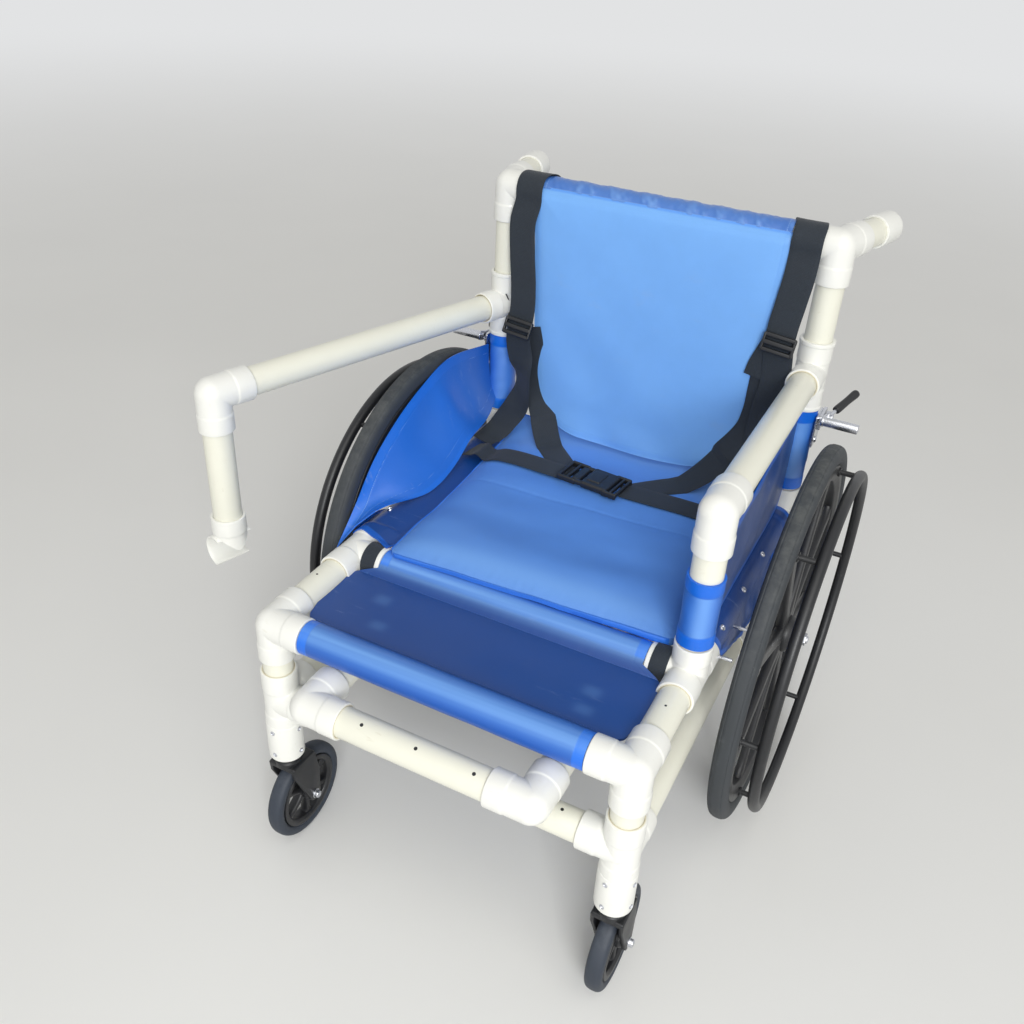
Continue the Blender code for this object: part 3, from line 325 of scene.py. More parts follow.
@dataclass
class Shape:
    """The closed surfaces of one piece, gathered as arrays and then made one mesh.

    Attributes:
        name: the piece's name.
        origin: where the shape's own zero stands, in the chair's coordinates.
        turn: the shape's turn about +Z, in radians.
    """

    name: str
    origin: tuple = (0.0, 0.0, 0.0)
    turn: float = 0.0
    points: list = field(default_factory=list)
    faces: list = field(default_factory=list)
    corners: list = field(default_factory=list)
    marks: dict = field(default_factory=dict)
    count: int = 0

    def _store(self, points: np.ndarray, groups: list, marks: dict) -> "Shape":
        """Keep points and faces, turning the faces over where they enclose a negative volume.

        Args:
            points: the surface's points.
            groups: pairs of faces and their texture coordinates.
            marks: values for the piece's attributes.
        Returns:
            The shape itself.
        """
        volume = 0.0
        for faces, _ in groups:
            a = points[faces[:, 0]]
            for k in range(1, faces.shape[1] - 1):
                volume += np.sum(a * np.cross(points[faces[:, k]], points[faces[:, k + 1]]))
        for faces, uv in groups:
            faces, uv = (faces[:, ::-1], uv[:, ::-1]) if volume < 0.0 else (faces, uv)
            self.faces += (faces + self.count).tolist()
            self.corners.append(uv.reshape(-1, 2))
        for name in sorted(set(self.marks) | set(marks)):
            values = self.marks.setdefault(name, [])
            plain = 1.0 if name == "seam" else 0.0
            if not values and self.count:
                values.append(np.full(self.count, plain))
            given = np.asarray(marks.get(name, plain), float).reshape(-1)
            values.append(np.broadcast_to(given, len(points)))
        self.points.append(points)
        self.count += len(points)
        return self

    def closed(self, grid: np.ndarray, wrap_rows: bool = False, **marks: ArrayLike) -> "Shape":
        """Add a grid whose columns wrap round; its ends wrap too, or close in poles.

        Args:
            grid: the points.
            wrap_rows: whether the last row meets the first, as on a ring.
            marks: values for the piece's attributes, one for all points or one for each.
        Returns:
            The shape itself.
        """
        rows, cols = grid.shape[:2]
        uv = lengths_of(grid, wrap_rows, True)
        quads = quads_of(rows, cols, wrap_rows, True)
        groups = [(quads, uv.reshape(-1, 2)[quads_of(*uv.shape[:2])])]
        points = grid.reshape(-1, 3)
        if not wrap_rows:
            points = np.concatenate((points, grid[:1].mean(axis=1), grid[-1:].mean(axis=1)))
            j = np.arange(cols)
            beside, base, last = (j + 1) % cols, rows * cols, (rows - 1) * cols
            start = np.stack((np.full(cols, base), j, beside), -1)
            end = np.stack((np.full(cols, base + 1), last + beside, last + j), -1)
            groups += [(start, np.stack((uv[0, j], uv[0, j], uv[0, j + 1]), 1)),
                       (end, np.stack((uv[-1, j], uv[-1, j + 1], uv[-1, j]), 1))]
            marks = {k: np.append(np.asarray(m, float), np.full(2, float(np.mean(m)))) if np.ndim(m) else m
                     for k, m in marks.items()}
        return self._store(points, groups, marks)

    def lathe(self, origin: ArrayLike, axis: ArrayLike, profile: ArrayLike, radii: ArrayLike, sides: int,
              ring: bool = False, **marks: ArrayLike) -> "Shape":
        """Add a turned part whose profile has eased corners.

        Args:
            origin: the point that the profile is measured from.
            axis: the direction of the axis.
            profile: pairs of distance along the axis and radius.
            radii: the easing of all corners, or of each.
            sides: how many points each ring has.
            ring: whether the profile closes on itself.
            marks: values for the piece's attributes.
        Returns:
            The shape itself.
        """
        return self.closed(turned(origin, axis, eased(profile, radii, closed=ring), sides), ring, **marks)

    def slab(self, grid: np.ndarray, thick: ArrayLike, uv: np.ndarray | None = None,
             **marks: ArrayLike) -> "Shape":
        """Add a sheet with thickness: its grid moved half of it to each side, and closed round the rim.

        Args:
            grid: the points of the sheet's middle surface.
            thick: its thickness, one for all points or one for each.
            uv: texture coordinates in metres, measured from the grid when left out.
            marks: values for the piece's attributes.
        Returns:
            The shape itself.
        """
        half = np.broadcast_to(np.asarray(thick, float), grid.shape[:2])[..., None] / 2
        half = half * surface_normals(grid)
        return self.layers(grid + half, grid - half, lengths_of(grid) if uv is None else uv, **marks)

    def layers(self, upper: np.ndarray, lower: np.ndarray, uv: np.ndarray, **marks: ArrayLike) -> "Shape":
        """Add the space between two grids of the same size, closed round its rim.

        Args:
            upper: the points of one face.
            lower: the points of the other.
            uv: texture coordinates in metres, the same for both.
            marks: values for the piece's attributes, the same for both.
        Returns:
            The shape itself.
        """
        rows, cols = upper.shape[:2]
        quads, flat, base = quads_of(rows, cols), uv.reshape(-1, 2), rows * cols
        index = np.arange(base).reshape(rows, cols)
        rim = np.concatenate((index[0, :-1], index[:-1, -1], index[-1, :0:-1], index[:0:-1, 0]))
        ahead = np.roll(rim, -1)
        edge = np.stack((rim, ahead, ahead + base, rim + base), -1)
        edge_uv = np.stack((flat[rim], flat[ahead], flat[ahead], flat[rim]), 1)
        groups = [(quads, flat[quads]), (quads[:, ::-1] + base, flat[quads][:, ::-1]), (edge, edge_uv)]
        both = {k: np.tile(np.asarray(m, float).reshape(-1), 2) if np.ndim(m) else m
                for k, m in marks.items()}
        return self._store(np.concatenate((upper.reshape(-1, 3), lower.reshape(-1, 3))), groups, both)

    def plate(self, outline: ArrayLike, direction: int, start: float, end: float,
              ease: float = 0.0006) -> "Shape":
        """Add a flat plate: an outline carried along a direction, with eased rims.

        The rim's rows are the outline drawn in by ease * (1 - sin t) while it rises by ease * (1 - cos t).

        Args:
            outline: points in the two directions square to the plate's own direction.
            direction: 0, 1 or 2 for X, Y or Z.
            start: where one face lies along the direction.
            end: where the other lies, on either side of the first.
            ease: the rounding of its rims.
        Returns:
            The shape itself.
        """
        low, high = sorted((start, end))
        flat = np.asarray(outline, float)
        before, after = np.roll(flat, 1, 0), np.roll(flat, -1, 0)
        area = np.sum(flat[:, 0] * after[:, 1] - flat[:, 1] * after[:, 0])
        out = unit(unit(after - flat) + unit(flat - before))[:, ::-1] * np.array((1.0, -1.0)) * np.sign(area)
        t = np.linspace(0.0, pi / 2, 4)
        inset = np.concatenate((ease * (1 - np.sin(t)), ease * (1 - np.sin(t[::-1]))))
        level = np.concatenate((low + ease * (1 - np.cos(t)), high - ease * (1 - np.cos(t[::-1]))))
        rings = flat[None] - inset[:, None, None] * out[None]
        grid = np.insert(rings, direction, 0.0, axis=2)
        grid[..., direction] = level[:, None]
        rows, cols = grid.shape[:2]
        quads, uv, first = quads_of(rows, cols, wrap_cols=True), rings.reshape(-1, 2), np.arange(cols)
        ends = [(first[None, :], uv[None, :cols]),
                (first[None, ::-1] + (rows - 1) * cols, uv[None, ::-1][:, :cols])]
        return self._store(grid.reshape(-1, 3), [(quads, uv[quads])] + ends, {})

    def mesh(self) -> bpy.types.Mesh:
        """One smooth mesh of all surfaces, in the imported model's frame.

        Returns:
            The mesh, with its texture coordinates and attributes.
        """
        points = np.concatenate(self.points)
        c, s = cos(self.turn), sin(self.turn)
        points = points @ np.array(((c, s, 0.0), (-s, c, 0.0), (0.0, 0.0, 1.0)))
        points = points + np.asarray(self.origin, float) + SHIFT
        mesh = bpy.data.meshes.new(self.name)
        mesh.from_pydata(points.tolist(), [], self.faces)
        mesh.uv_layers.new(name="metres").data.foreach_set("uv", np.concatenate(self.corners).ravel())
        for name, values in self.marks.items():
            attribute = mesh.attributes.new(name, "FLOAT", "POINT")
            attribute.data.foreach_set("value", np.concatenate(values).astype(np.float32))
        mesh.shade_smooth()
        mesh.set_sharp_from_angle(angle=radians(38.0))
        return mesh


class Tree:
    """A short way to write a node tree: nodes by type, sockets by name and links."""

    def __init__(self, tree: bpy.types.NodeTree) -> None:
        """Start from an emptied tree."""
        self.tree = tree
        tree.nodes.clear()

    def feed(self, made: bpy.types.Node, inputs: dict) -> bpy.types.Node:
        """Give a node its inputs.

        Args:
            made: the node.
            inputs: values or output sockets for its input sockets, by name or number.
        Returns:
            The node.
        """
        for name, value in inputs.items():
            if isinstance(value, bpy.types.NodeSocket):
                self.tree.links.new(value, made.inputs[name])
            else:
                made.inputs[name].default_value = value
        return made

    def node(self, kind: str, inputs: dict | None = None, **settings: object) -> bpy.types.Node:
        """Add a node.

        Args:
            kind: the node's type, without the words that all types start with.
            inputs: values or output sockets for its input sockets, by name or number.
            settings: the node's own properties.
        Returns:
            The node.
        """
        made = self.tree.nodes.new(f"ShaderNode{kind}")
        for name, value in settings.items():
            setattr(made, name, value)
        return self.feed(made, inputs or {})

    def math(self, operation: str, a: object, b: object = 0.0, c: object = 0.0,
             clamp: bool = False) -> bpy.types.NodeSocket:
        """The result of a Math node on two or three values or sockets."""
        return self.node("Math", {0: a, 1: b, 2: c}, operation=operation, use_clamp=clamp).outputs[0]

    def between(self, factor: object, a: object, b: object) -> bpy.types.NodeSocket:
        """The colour between a and b, by a factor from 0 to 1."""
        return self.node("Mix", {0: factor, 6: a, 7: b}, data_type="RGBA").outputs[2]

    def span(self, value: object, low: float, high: float, start: float = 0.0,
             end: float = 1.0) -> bpy.types.NodeSocket:
        """The value's place between low and high, smoothed and held there, as start to end."""
        return self.node("MapRange", {0: value, 1: low, 2: high, 3: start, 4: end},
                         interpolation_type="SMOOTHSTEP").outputs[0]

    def noise(self, vector: object, scale: object, detail: float = 3.0,
              roughness: float = 0.5) -> bpy.types.NodeSocket:
        """A noise value from 0 to 1 at each point."""
        return self.node("TexNoise", {"Vector": vector, "Scale": scale, "Detail": detail,
                                      "Roughness": roughness}).outputs["Fac"]

    def where(self) -> bpy.types.NodeSocket:
        """The piece's own coordinates."""
        return self.node("TexCoord").outputs["Object"]

    def flat(self) -> bpy.types.NodeSocket:
        """The surface's own coordinates, in metres."""
        return self.node("UVMap", uv_map="metres").outputs[0]

    def read(self, name: str) -> bpy.types.NodeSocket:
        """The value of one of the piece's attributes."""
        return self.node("Attribute", attribute_name=name).outputs["Fac"]

    def surface(self, inputs: dict, height: bpy.types.NodeSocket, strength: float, distance: float) -> None:
        """End a material in a Principled shader with a bump.

        Args:
            inputs: values or sockets for the shader.
            height: what the bump follows.
            strength: how much of the bump is used.
            distance: how high it is, in metres.
        """
        bump = self.node("Bump", {"Height": height, "Strength": strength, "Distance": distance})
        shader = self.node("BsdfPrincipled", {**inputs, "Normal": bump.outputs[0]})
        self.node("OutputMaterial", {"Surface": shader.outputs[0]})

    def give(self, **outputs: bpy.types.NodeSocket) -> bpy.types.NodeTree:
        """End a group by handing over its outputs, and return the group."""
        self.feed(self.tree.nodes.new("NodeGroupOutput"), outputs)
        return self.tree


def new_group(name: str, inputs: dict, outputs: dict) -> tuple[Tree, bpy.types.NodeOutputs]:
    """Start a shader node group with named sockets.

    Args:
        name: the group's name.
        inputs: socket names with their default values; None is a vector.
        outputs: socket names with their types.
    Returns:
        The tree that fills the group, and what the group is given.
    """
    group = bpy.data.node_groups.new(name, "ShaderNodeTree")
    for title, value in inputs.items():
        kind = "Vector" if value is None else "Color" if np.ndim(value) else "Float"
        socket = group.interface.new_socket(title, in_out="INPUT", socket_type=f"NodeSocket{kind}")
        if value is not None:
            socket.default_value = value
    for title, kind in outputs.items():
        group.interface.new_socket(title, in_out="OUTPUT", socket_type=f"NodeSocket{kind}")
    return Tree(group), group.nodes.new("NodeGroupInput").outputs


class Effects:
    """The shader effects that several finishes use, each one node group."""

    def __init__(self) -> None:
        """Build every group once."""
        self.groups = {"mottle": self._mottle(), "weave": self._weave(), "scuffs": self._scuffs(),
                       "stitches": self._stitches(), "dust": self._dust()}

    def use(self, tree: Tree, name: str, inputs: dict) -> bpy.types.NodeOutputs:
        """Place an effect in a material's tree, with its values or sockets."""
        return tree.node("Group", inputs, node_tree=self.groups[name]).outputs

    def _mottle(self) -> bpy.types.NodeTree:
        """Soft clouds of two sizes that lighten and darken a colour.

        Returns:
            The group.
        """
        t, given = new_group("mottle", {"Vector": None, "Color": (0.8, 0.8, 0.8, 1.0), "Scale": 12.0,
                                        "Amount": 0.1}, {"Color": "Color", "Cloud": "Float"})
        wide = t.noise(given["Vector"], given["Scale"], 4.0)
        fine = t.noise(given["Vector"], t.math("MULTIPLY", given["Scale"], 7.3))
        cloud = t.math("ADD", t.math("MULTIPLY", wide, 0.65), t.math("MULTIPLY", fine, 0.35))
        shift = t.math("MULTIPLY", t.math("SUBTRACT", cloud, 0.5), given["Amount"])
        gain = t.math("ADD", 1.0, t.math("MULTIPLY", shift, 2.0))
        colour = t.node("VectorMath", {0: given["Color"], 1: gain}, operation="MULTIPLY").outputs[0]
        return t.give(Color=colour, Cloud=cloud)

    def _weave(self) -> bpy.types.NodeTree:
        """Plain weave in metres: in each square of a chequer one thread lies over, as |sin| of its width.

        Returns:
            The group.
        """
        t, given = new_group("weave", {"Vector": None, "Pitch": 0.0011, "Sharpness": 1.0},
                             {"Height": "Float", "Gap": "Float"})
        cell = t.node("VectorMath", {0: given["Vector"], "Scale": t.math("DIVIDE", 1.0, given["Pitch"])},
                      operation="SCALE")
        parts = t.node("SeparateXYZ", {0: cell.outputs[0]}).outputs
        ridges = [t.math("ABSOLUTE", t.math("SINE", t.math("MULTIPLY", parts[k], pi))) for k in (0, 1)]
        over = t.math("PINGPONG", t.math("ADD", *(t.math("FLOOR", parts[k]) for k in (0, 1))), 1.0)
        under = t.math("SUBTRACT", 1.0, over)
        height = t.math("ADD", t.math("MULTIPLY", ridges[0], over), t.math("MULTIPLY", ridges[1], under))
        gap = t.math("SUBTRACT", 1.0, t.math("MAXIMUM", *ridges), clamp=True)
        return t.give(Height=t.math("POWER", height, given["Sharpness"]), Gap=gap)

    def _scuffs(self) -> bpy.types.NodeTree:
        """Long thin scratches in rubbed patches: stretched noise held to its peaks, inside wider clouds.

        Returns:
            The group.
        """
        t, given = new_group("scuffs", {"Vector": None, "Scale": 30.0, "Amount": 0.5}, {"Mask": "Float"})
        stretched = t.node("Mapping", {"Vector": given["Vector"], "Scale": (1.0, 6.0, 2.2),
                                       "Rotation": (0.3, 0.5, 0.9)}).outputs[0]
        lines = t.noise(stretched, given["Scale"], 6.0, 0.65)
        clouds = t.noise(given["Vector"], t.math("MULTIPLY", given["Scale"], 0.4), 2.0)
        mask = t.math("MULTIPLY", t.span(lines, 0.58, 0.72), t.span(clouds, 0.45, 0.65))
        return t.give(Mask=t.math("MULTIPLY", mask, given["Amount"], clamp=True))

    def _stitches(self) -> bpy.types.NodeTree:
        """A row of stitches, from the distance to its line and the length along it, in metres.

        Returns:
            The group.
        """
        t, given = new_group("stitches", {"Distance": 1.0, "Along": 0.0, "Pitch": 0.0034, "Width": 0.0006},
                             {"Thread": "Float", "Dent": "Float"})
        away = t.math("DIVIDE", t.math("ABSOLUTE", given["Distance"]), given["Width"])
        beat = t.math("FRACT", t.math("DIVIDE", given["Along"], given["Pitch"]))
        on = t.span(t.math("ABSOLUTE", t.math("SUBTRACT", beat, 0.5)), 0.3, 0.38, 1.0, 0.0)
        thread = t.math("MULTIPLY", t.span(away, 0.7, 1.1, 1.0, 0.0), on)
        return t.give(Thread=thread, Dent=t.span(away, 1.0, 4.0, 1.0, 0.0))

    def _dust(self) -> bpy.types.NodeTree:
        """Dust on faces that look up, thinned by noise.

        Returns:
            The group.
        """
        t, given = new_group("dust", {"Vector": None, "Amount": 0.3}, {"Mask": "Float"})
        up = t.node("SeparateXYZ", {0: t.node("NewGeometry").outputs["Normal"]}).outputs[2]
        grains = t.span(t.noise(given["Vector"], 60.0, 5.0, 0.7), 0.35, 0.75)
        lying = t.math("MULTIPLY", t.span(up, 0.2, 1.0), grains)
        return t.give(Mask=t.math("MULTIPLY", lying, given["Amount"]))


def srgb(red: float, green: float, blue: float) -> tuple[float, float, float, float]:
    """A colour written as 0 to 255 on a screen, as the linear colour that a shader takes.

    Args:
        red: the red part.
        green: the green part.
        blue: the blue part.
    Returns:
        Red, green, blue and an alpha of one.
    """
    values = np.array((red, green, blue)) / 255.0
    linear = np.where(values <= 0.04045, values / 12.92, ((values + 0.055) / 1.055) ** 2.4)
    return (*(float(v) for v in linear), 1.0)


@dataclass(frozen=True)
class Plastic:
    """Moulded or extruded plastic: cream pipe and whiter fittings, or one colour of black."""

    pipe: tuple
    fitting: tuple
    roughness: float
    grain: float
    scuff_colour: tuple
    scuffs: float
    coat: float = 0.0
    cement: tuple = srgb(196, 178, 120)

    def dress(self, tree: Tree, effects: Effects) -> None:
        """Fill a material's tree with this finish.

        Args:
            tree: the material's tree.
            effects: the shared effects.
        """
        at = tree.where()
        base = tree.between(tree.read("fitting"), self.pipe, self.fitting)
        base = effects.use(tree, "mottle", {"Vector": at, "Color": base, "Scale": 9.0, "Amount": 0.035})
        worn = effects.use(tree, "scuffs", {"Vector": at, "Scale": 55.0, "Amount": self.scuffs})["Mask"]
        colour = tree.between(worn, base["Color"], self.scuff_colour)
        colour = tree.between(tree.math("MULTIPLY", tree.read("glue"), 0.6), colour, self.cement)
        rough = tree.math("ADD", tree.span(base["Cloud"], 0.3, 0.7, -0.05, 0.06), self.roughness)
        rough = tree.math("ADD", rough, tree.math("MULTIPLY", worn, 0.25))
        tree.surface({"Base Color": colour, "Roughness": rough, "Coat Weight": self.coat,
                      "Coat Roughness": 0.15}, tree.noise(at, self.grain, 2.0), 0.1, 0.0004)


@dataclass(frozen=True)
class MeshCloth:
    """Coated mesh cloth: a fine plain weave with sheen, darker hems, stitches, rubbed patches and a pale
    colour laid on by the worn attribute, mostly as painted highlights.
    """

    light: tuple
    dark: tuple
    hem: tuple
    thread: tuple
    rubbed: tuple
    roughness: float = 0.55
    pitch: float = 0.0012
    rubs: float = 0.25
    gloss: float = 0.05
    scratch: tuple = srgb(150, 172, 214)
    sheen: tuple = srgb(170, 200, 255)

    def dress(self, tree: Tree, effects: Effects) -> None:
        """Fill a material's tree with this finish.

        Args:
            tree: the material's tree.
            effects: the shared effects.
        """
        at = tree.where()
        weave = effects.use(tree, "weave", {"Vector": tree.flat(), "Pitch": self.pitch, "Sharpness": 1.0})
        cloud = effects.use(tree, "mottle", {"Vector": at, "Color": self.light, "Scale": 6.0, "Amount": 0.1})
        base = tree.between(tree.math("MULTIPLY", weave["Gap"], 0.55), cloud["Color"], self.dark)
        base = tree.between(tree.read("hem"), base, self.hem)
        # The worn attribute lays on the pale rubbed colour: mostly painted highlights on rolls, sleeves and
        # the cushion's front, and a few real rubbed spots.
        base = tree.between(tree.read("worn"), base, self.rubbed)
        rub = effects.use(tree, "scuffs", {"Vector": at, "Scale": 16.0, "Amount": self.rubs})["Mask"]
        base = tree.between(tree.math("MULTIPLY", rub, 0.5), base, self.scratch)
        sewn = effects.use(tree, "stitches", {"Distance": tree.read("seam"), "Along": tree.read("seam_run")})
        base = tree.between(tree.math("MULTIPLY", sewn["Thread"], 0.85), base, self.thread)
        rough = tree.math("ADD", tree.span(cloud["Cloud"], 0.3, 0.7, -0.05, 0.05), self.roughness)
        seam = tree.math("SUBTRACT", tree.math("MULTIPLY", sewn["Thread"], 0.6), sewn["Dent"])
        height = tree.math("ADD", tree.math("MULTIPLY", weave["Height"], 0.22), seam)
        tree.surface({"Base Color": base, "Roughness": rough, "Sheen Weight": 0.04, "Sheen Roughness": 0.4,
                      "Sheen Tint": self.sheen, "Coat Weight": self.gloss, "Coat Roughness": 0.28},
                     height, 0.35, 0.0006)


@dataclass(frozen=True)
class Webbing:
    """Woven black webbing: ribs across the band, paired threads along it and a lighter worn edge."""

    colour: tuple
    worn: tuple
    pitch: float = 0.0021

    def dress(self, tree: Tree, effects: Effects) -> None:
        """Fill a material's tree with this finish.

        Args:
            tree: the material's tree.
            effects: the shared effects.
        """
        at = tree.where()
        weave = effects.use(tree, "weave", {"Vector": tree.flat(), "Pitch": self.pitch, "Sharpness": 0.7})
        cloud = effects.use(tree, "mottle", {"Vector": at, "Color": self.colour, "Scale": 18.0,
                                             "Amount": 0.25})
        fuzz = tree.span(tree.noise(at, 420.0, 4.0, 0.7), 0.45, 0.8)
        base = tree.between(tree.math("MULTIPLY", tree.math("MULTIPLY", weave["Height"], fuzz), 0.5),
                            cloud["Color"], self.worn)
        height = tree.math("ADD", weave["Height"], tree.math("MULTIPLY", fuzz, 0.3))
        tree.surface({"Base Color": base, "Roughness": 0.72, "Sheen Weight": 0.1, "Sheen Roughness": 0.5},
                     height, 0.6, 0.0005)


@dataclass(frozen=True)
class Rubber:
    """Dull rubber with dust in its grain and on its upward faces."""

    colour: tuple
    dusty: tuple
    roughness: float
    dust: float

    def dress(self, tree: Tree, effects: Effects) -> None:
        """Fill a material's tree with this finish.

        Args:
            tree: the material's tree.
            effects: the shared effects.
        """
        at = tree.where()
        cloud = effects.use(tree, "mottle", {"Vector": at, "Color": self.colour, "Scale": 26.0,
                                             "Amount": 0.22})
        grime = effects.use(tree, "dust", {"Vector": at, "Amount": self.dust})["Mask"]
        rubbed = effects.use(tree, "scuffs", {"Vector": at, "Scale": 34.0, "Amount": 0.5})["Mask"]
        grey = tree.math("MAXIMUM", grime, tree.math("MULTIPLY", rubbed, 0.5))
        rough = tree.math("ADD", tree.span(cloud["Cloud"], 0.3, 0.7, -0.06, 0.06), self.roughness)
        tree.surface({"Base Color": tree.between(grey, cloud["Color"], self.dusty), "Roughness": rough},
                     tree.noise(at, 900.0), 0.25, 0.0003)


@dataclass(frozen=True)
class Metal:
    """Plated or brushed metal with fine scratches and dull spots."""

    colour: tuple
    dull: tuple
    roughness: float

    def dress(self, tree: Tree, effects: Effects) -> None:
        """Fill a material's tree with this finish.

        Args:
            tree: the material's tree.
            effects: the shared effects.
        """
        at = tree.where()
        cloud = effects.use(tree, "mottle", {"Vector": at, "Color": self.colour, "Scale": 60.0,
                                             "Amount": 0.12})
        worn = effects.use(tree, "scuffs", {"Vector": at, "Scale": 180.0, "Amount": 0.7})["Mask"]
        rough = tree.math("ADD", tree.span(cloud["Cloud"], 0.3, 0.7, -0.06, 0.1), self.roughness)
        rough = tree.math("ADD", rough, tree.math("MULTIPLY", worn, 0.2))
        tree.surface({"Base Color": tree.between(worn, cloud["Color"], self.dull), "Roughness": rough,
                      "Metallic": 1.0}, tree.noise(at, 1400.0, 2.0), 0.08, 0.0002)


FINISHES = {
    Finish.PIPE: Plastic(pipe=srgb(238, 237, 222), fitting=srgb(243, 243, 237), roughness=0.34, grain=700.0,
                         scuff_colour=srgb(214, 208, 186), scuffs=0.35, coat=0.25),
    Finish.SEAT_MESH: MeshCloth(light=srgb(92, 147, 226), dark=srgb(54, 100, 184), hem=srgb(24, 108, 222),
                                thread=srgb(110, 160, 226), rubbed=srgb(120, 172, 238)),
    # Partly painted light: a lighter copy of the blue mesh for the back panel, which faces the front lamp.
    Finish.PADDED_MESH: MeshCloth(light=srgb(124, 182, 247), dark=srgb(76, 134, 222), hem=srgb(70, 140, 240),
                                  thread=srgb(150, 190, 240), rubbed=srgb(140, 190, 246)),
    Finish.COATED_MESH: MeshCloth(light=srgb(24, 94, 186), dark=srgb(12, 58, 132), hem=srgb(16, 116, 232),
                                  thread=srgb(120, 162, 224), rubbed=srgb(122, 170, 236), roughness=0.38,
                                  pitch=0.0011, rubs=0.6, gloss=0.35),
    # Painted shade: a darker copy of the blue mesh, for the leg panel, the sling and the right side panel,
    # standing in for the shade and dark reflections on their flat faces.
    Finish.DARK_MESH: MeshCloth(light=srgb(6, 66, 142), dark=srgb(2, 38, 92), hem=srgb(6, 110, 230),
                                thread=srgb(60, 104, 172), rubbed=srgb(128, 182, 246), roughness=0.4,
                                pitch=0.0011, rubs=0.6, gloss=0.15),
    Finish.WEBBING: Webbing(colour=srgb(27, 36, 46), worn=srgb(50, 62, 74)),
    Finish.MOULDED: Plastic(pipe=srgb(30, 31, 34), fitting=srgb(30, 31, 34), roughness=0.42, grain=1100.0,
                            scuff_colour=srgb(74, 76, 80), scuffs=0.5),
    Finish.TYRE: Rubber(colour=srgb(58, 62, 66), dusty=srgb(108, 110, 108), roughness=0.72, dust=0.45),
    Finish.CASTER: Rubber(colour=srgb(50, 57, 68), dusty=srgb(96, 102, 112), roughness=0.62, dust=0.35),
    Finish.STEEL: Metal(colour=srgb(206, 208, 214), dull=srgb(150, 150, 152), roughness=0.24),
}
SLOTS = {Finish.PIPE: "white_pipe", Finish.WEBBING: "black_webbing", Finish.MOULDED: "black_plastic",
         Finish.TYRE: "tyre_rubber", Finish.CASTER: "caster_rubber", Finish.STEEL: "steel"}


class Workshop:
    """Holds the finishes as materials."""

    def __init__(self) -> None:
        """Make the shared effects and the materials."""
        self.effects = Effects()
        self.materials = {finish: self._material(finish) for finish in Finish}

    def _material(self, finish: Finish) -> bpy.types.Material:
        """The material of one finish.

        Args:
            finish: the finish.
        Returns:
            Its material.
        """
        material = bpy.data.materials.new(finish.value)
        material.use_nodes = True
        FINISHES[finish].dress(Tree(material.node_tree), self.effects)
        return material


@dataclass
class Part:
    """A sub-assembly, whose shapes become pieces that ride on the model's bodies."""

    shop: Workshop

    def piece(self, shape: Shape, finish: Finish, *nodes: str, body: str = "frame") -> bpy.types.Object:
        """Make a shape's object, dress it and hang it on its body.

        Args:
            shape: the surfaces.
            finish: its material.
            nodes: the CAD nodes that it stands for.
            body: the body that it rides on.
        Returns:
            The object.
        """
        obj = bpy.data.objects.new(shape.name, shape.mesh())
        bpy.context.scene.collection.objects.link(obj)
        obj.data.materials.append(self.shop.materials[finish])
        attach(obj, body)
        SLOTS.get(finish, "blue_mesh")
        if nodes:
            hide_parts(*nodes)
        LOG.info("%s: %d faces on %s", shape.name, len(obj.data.polygons), body)
        return obj


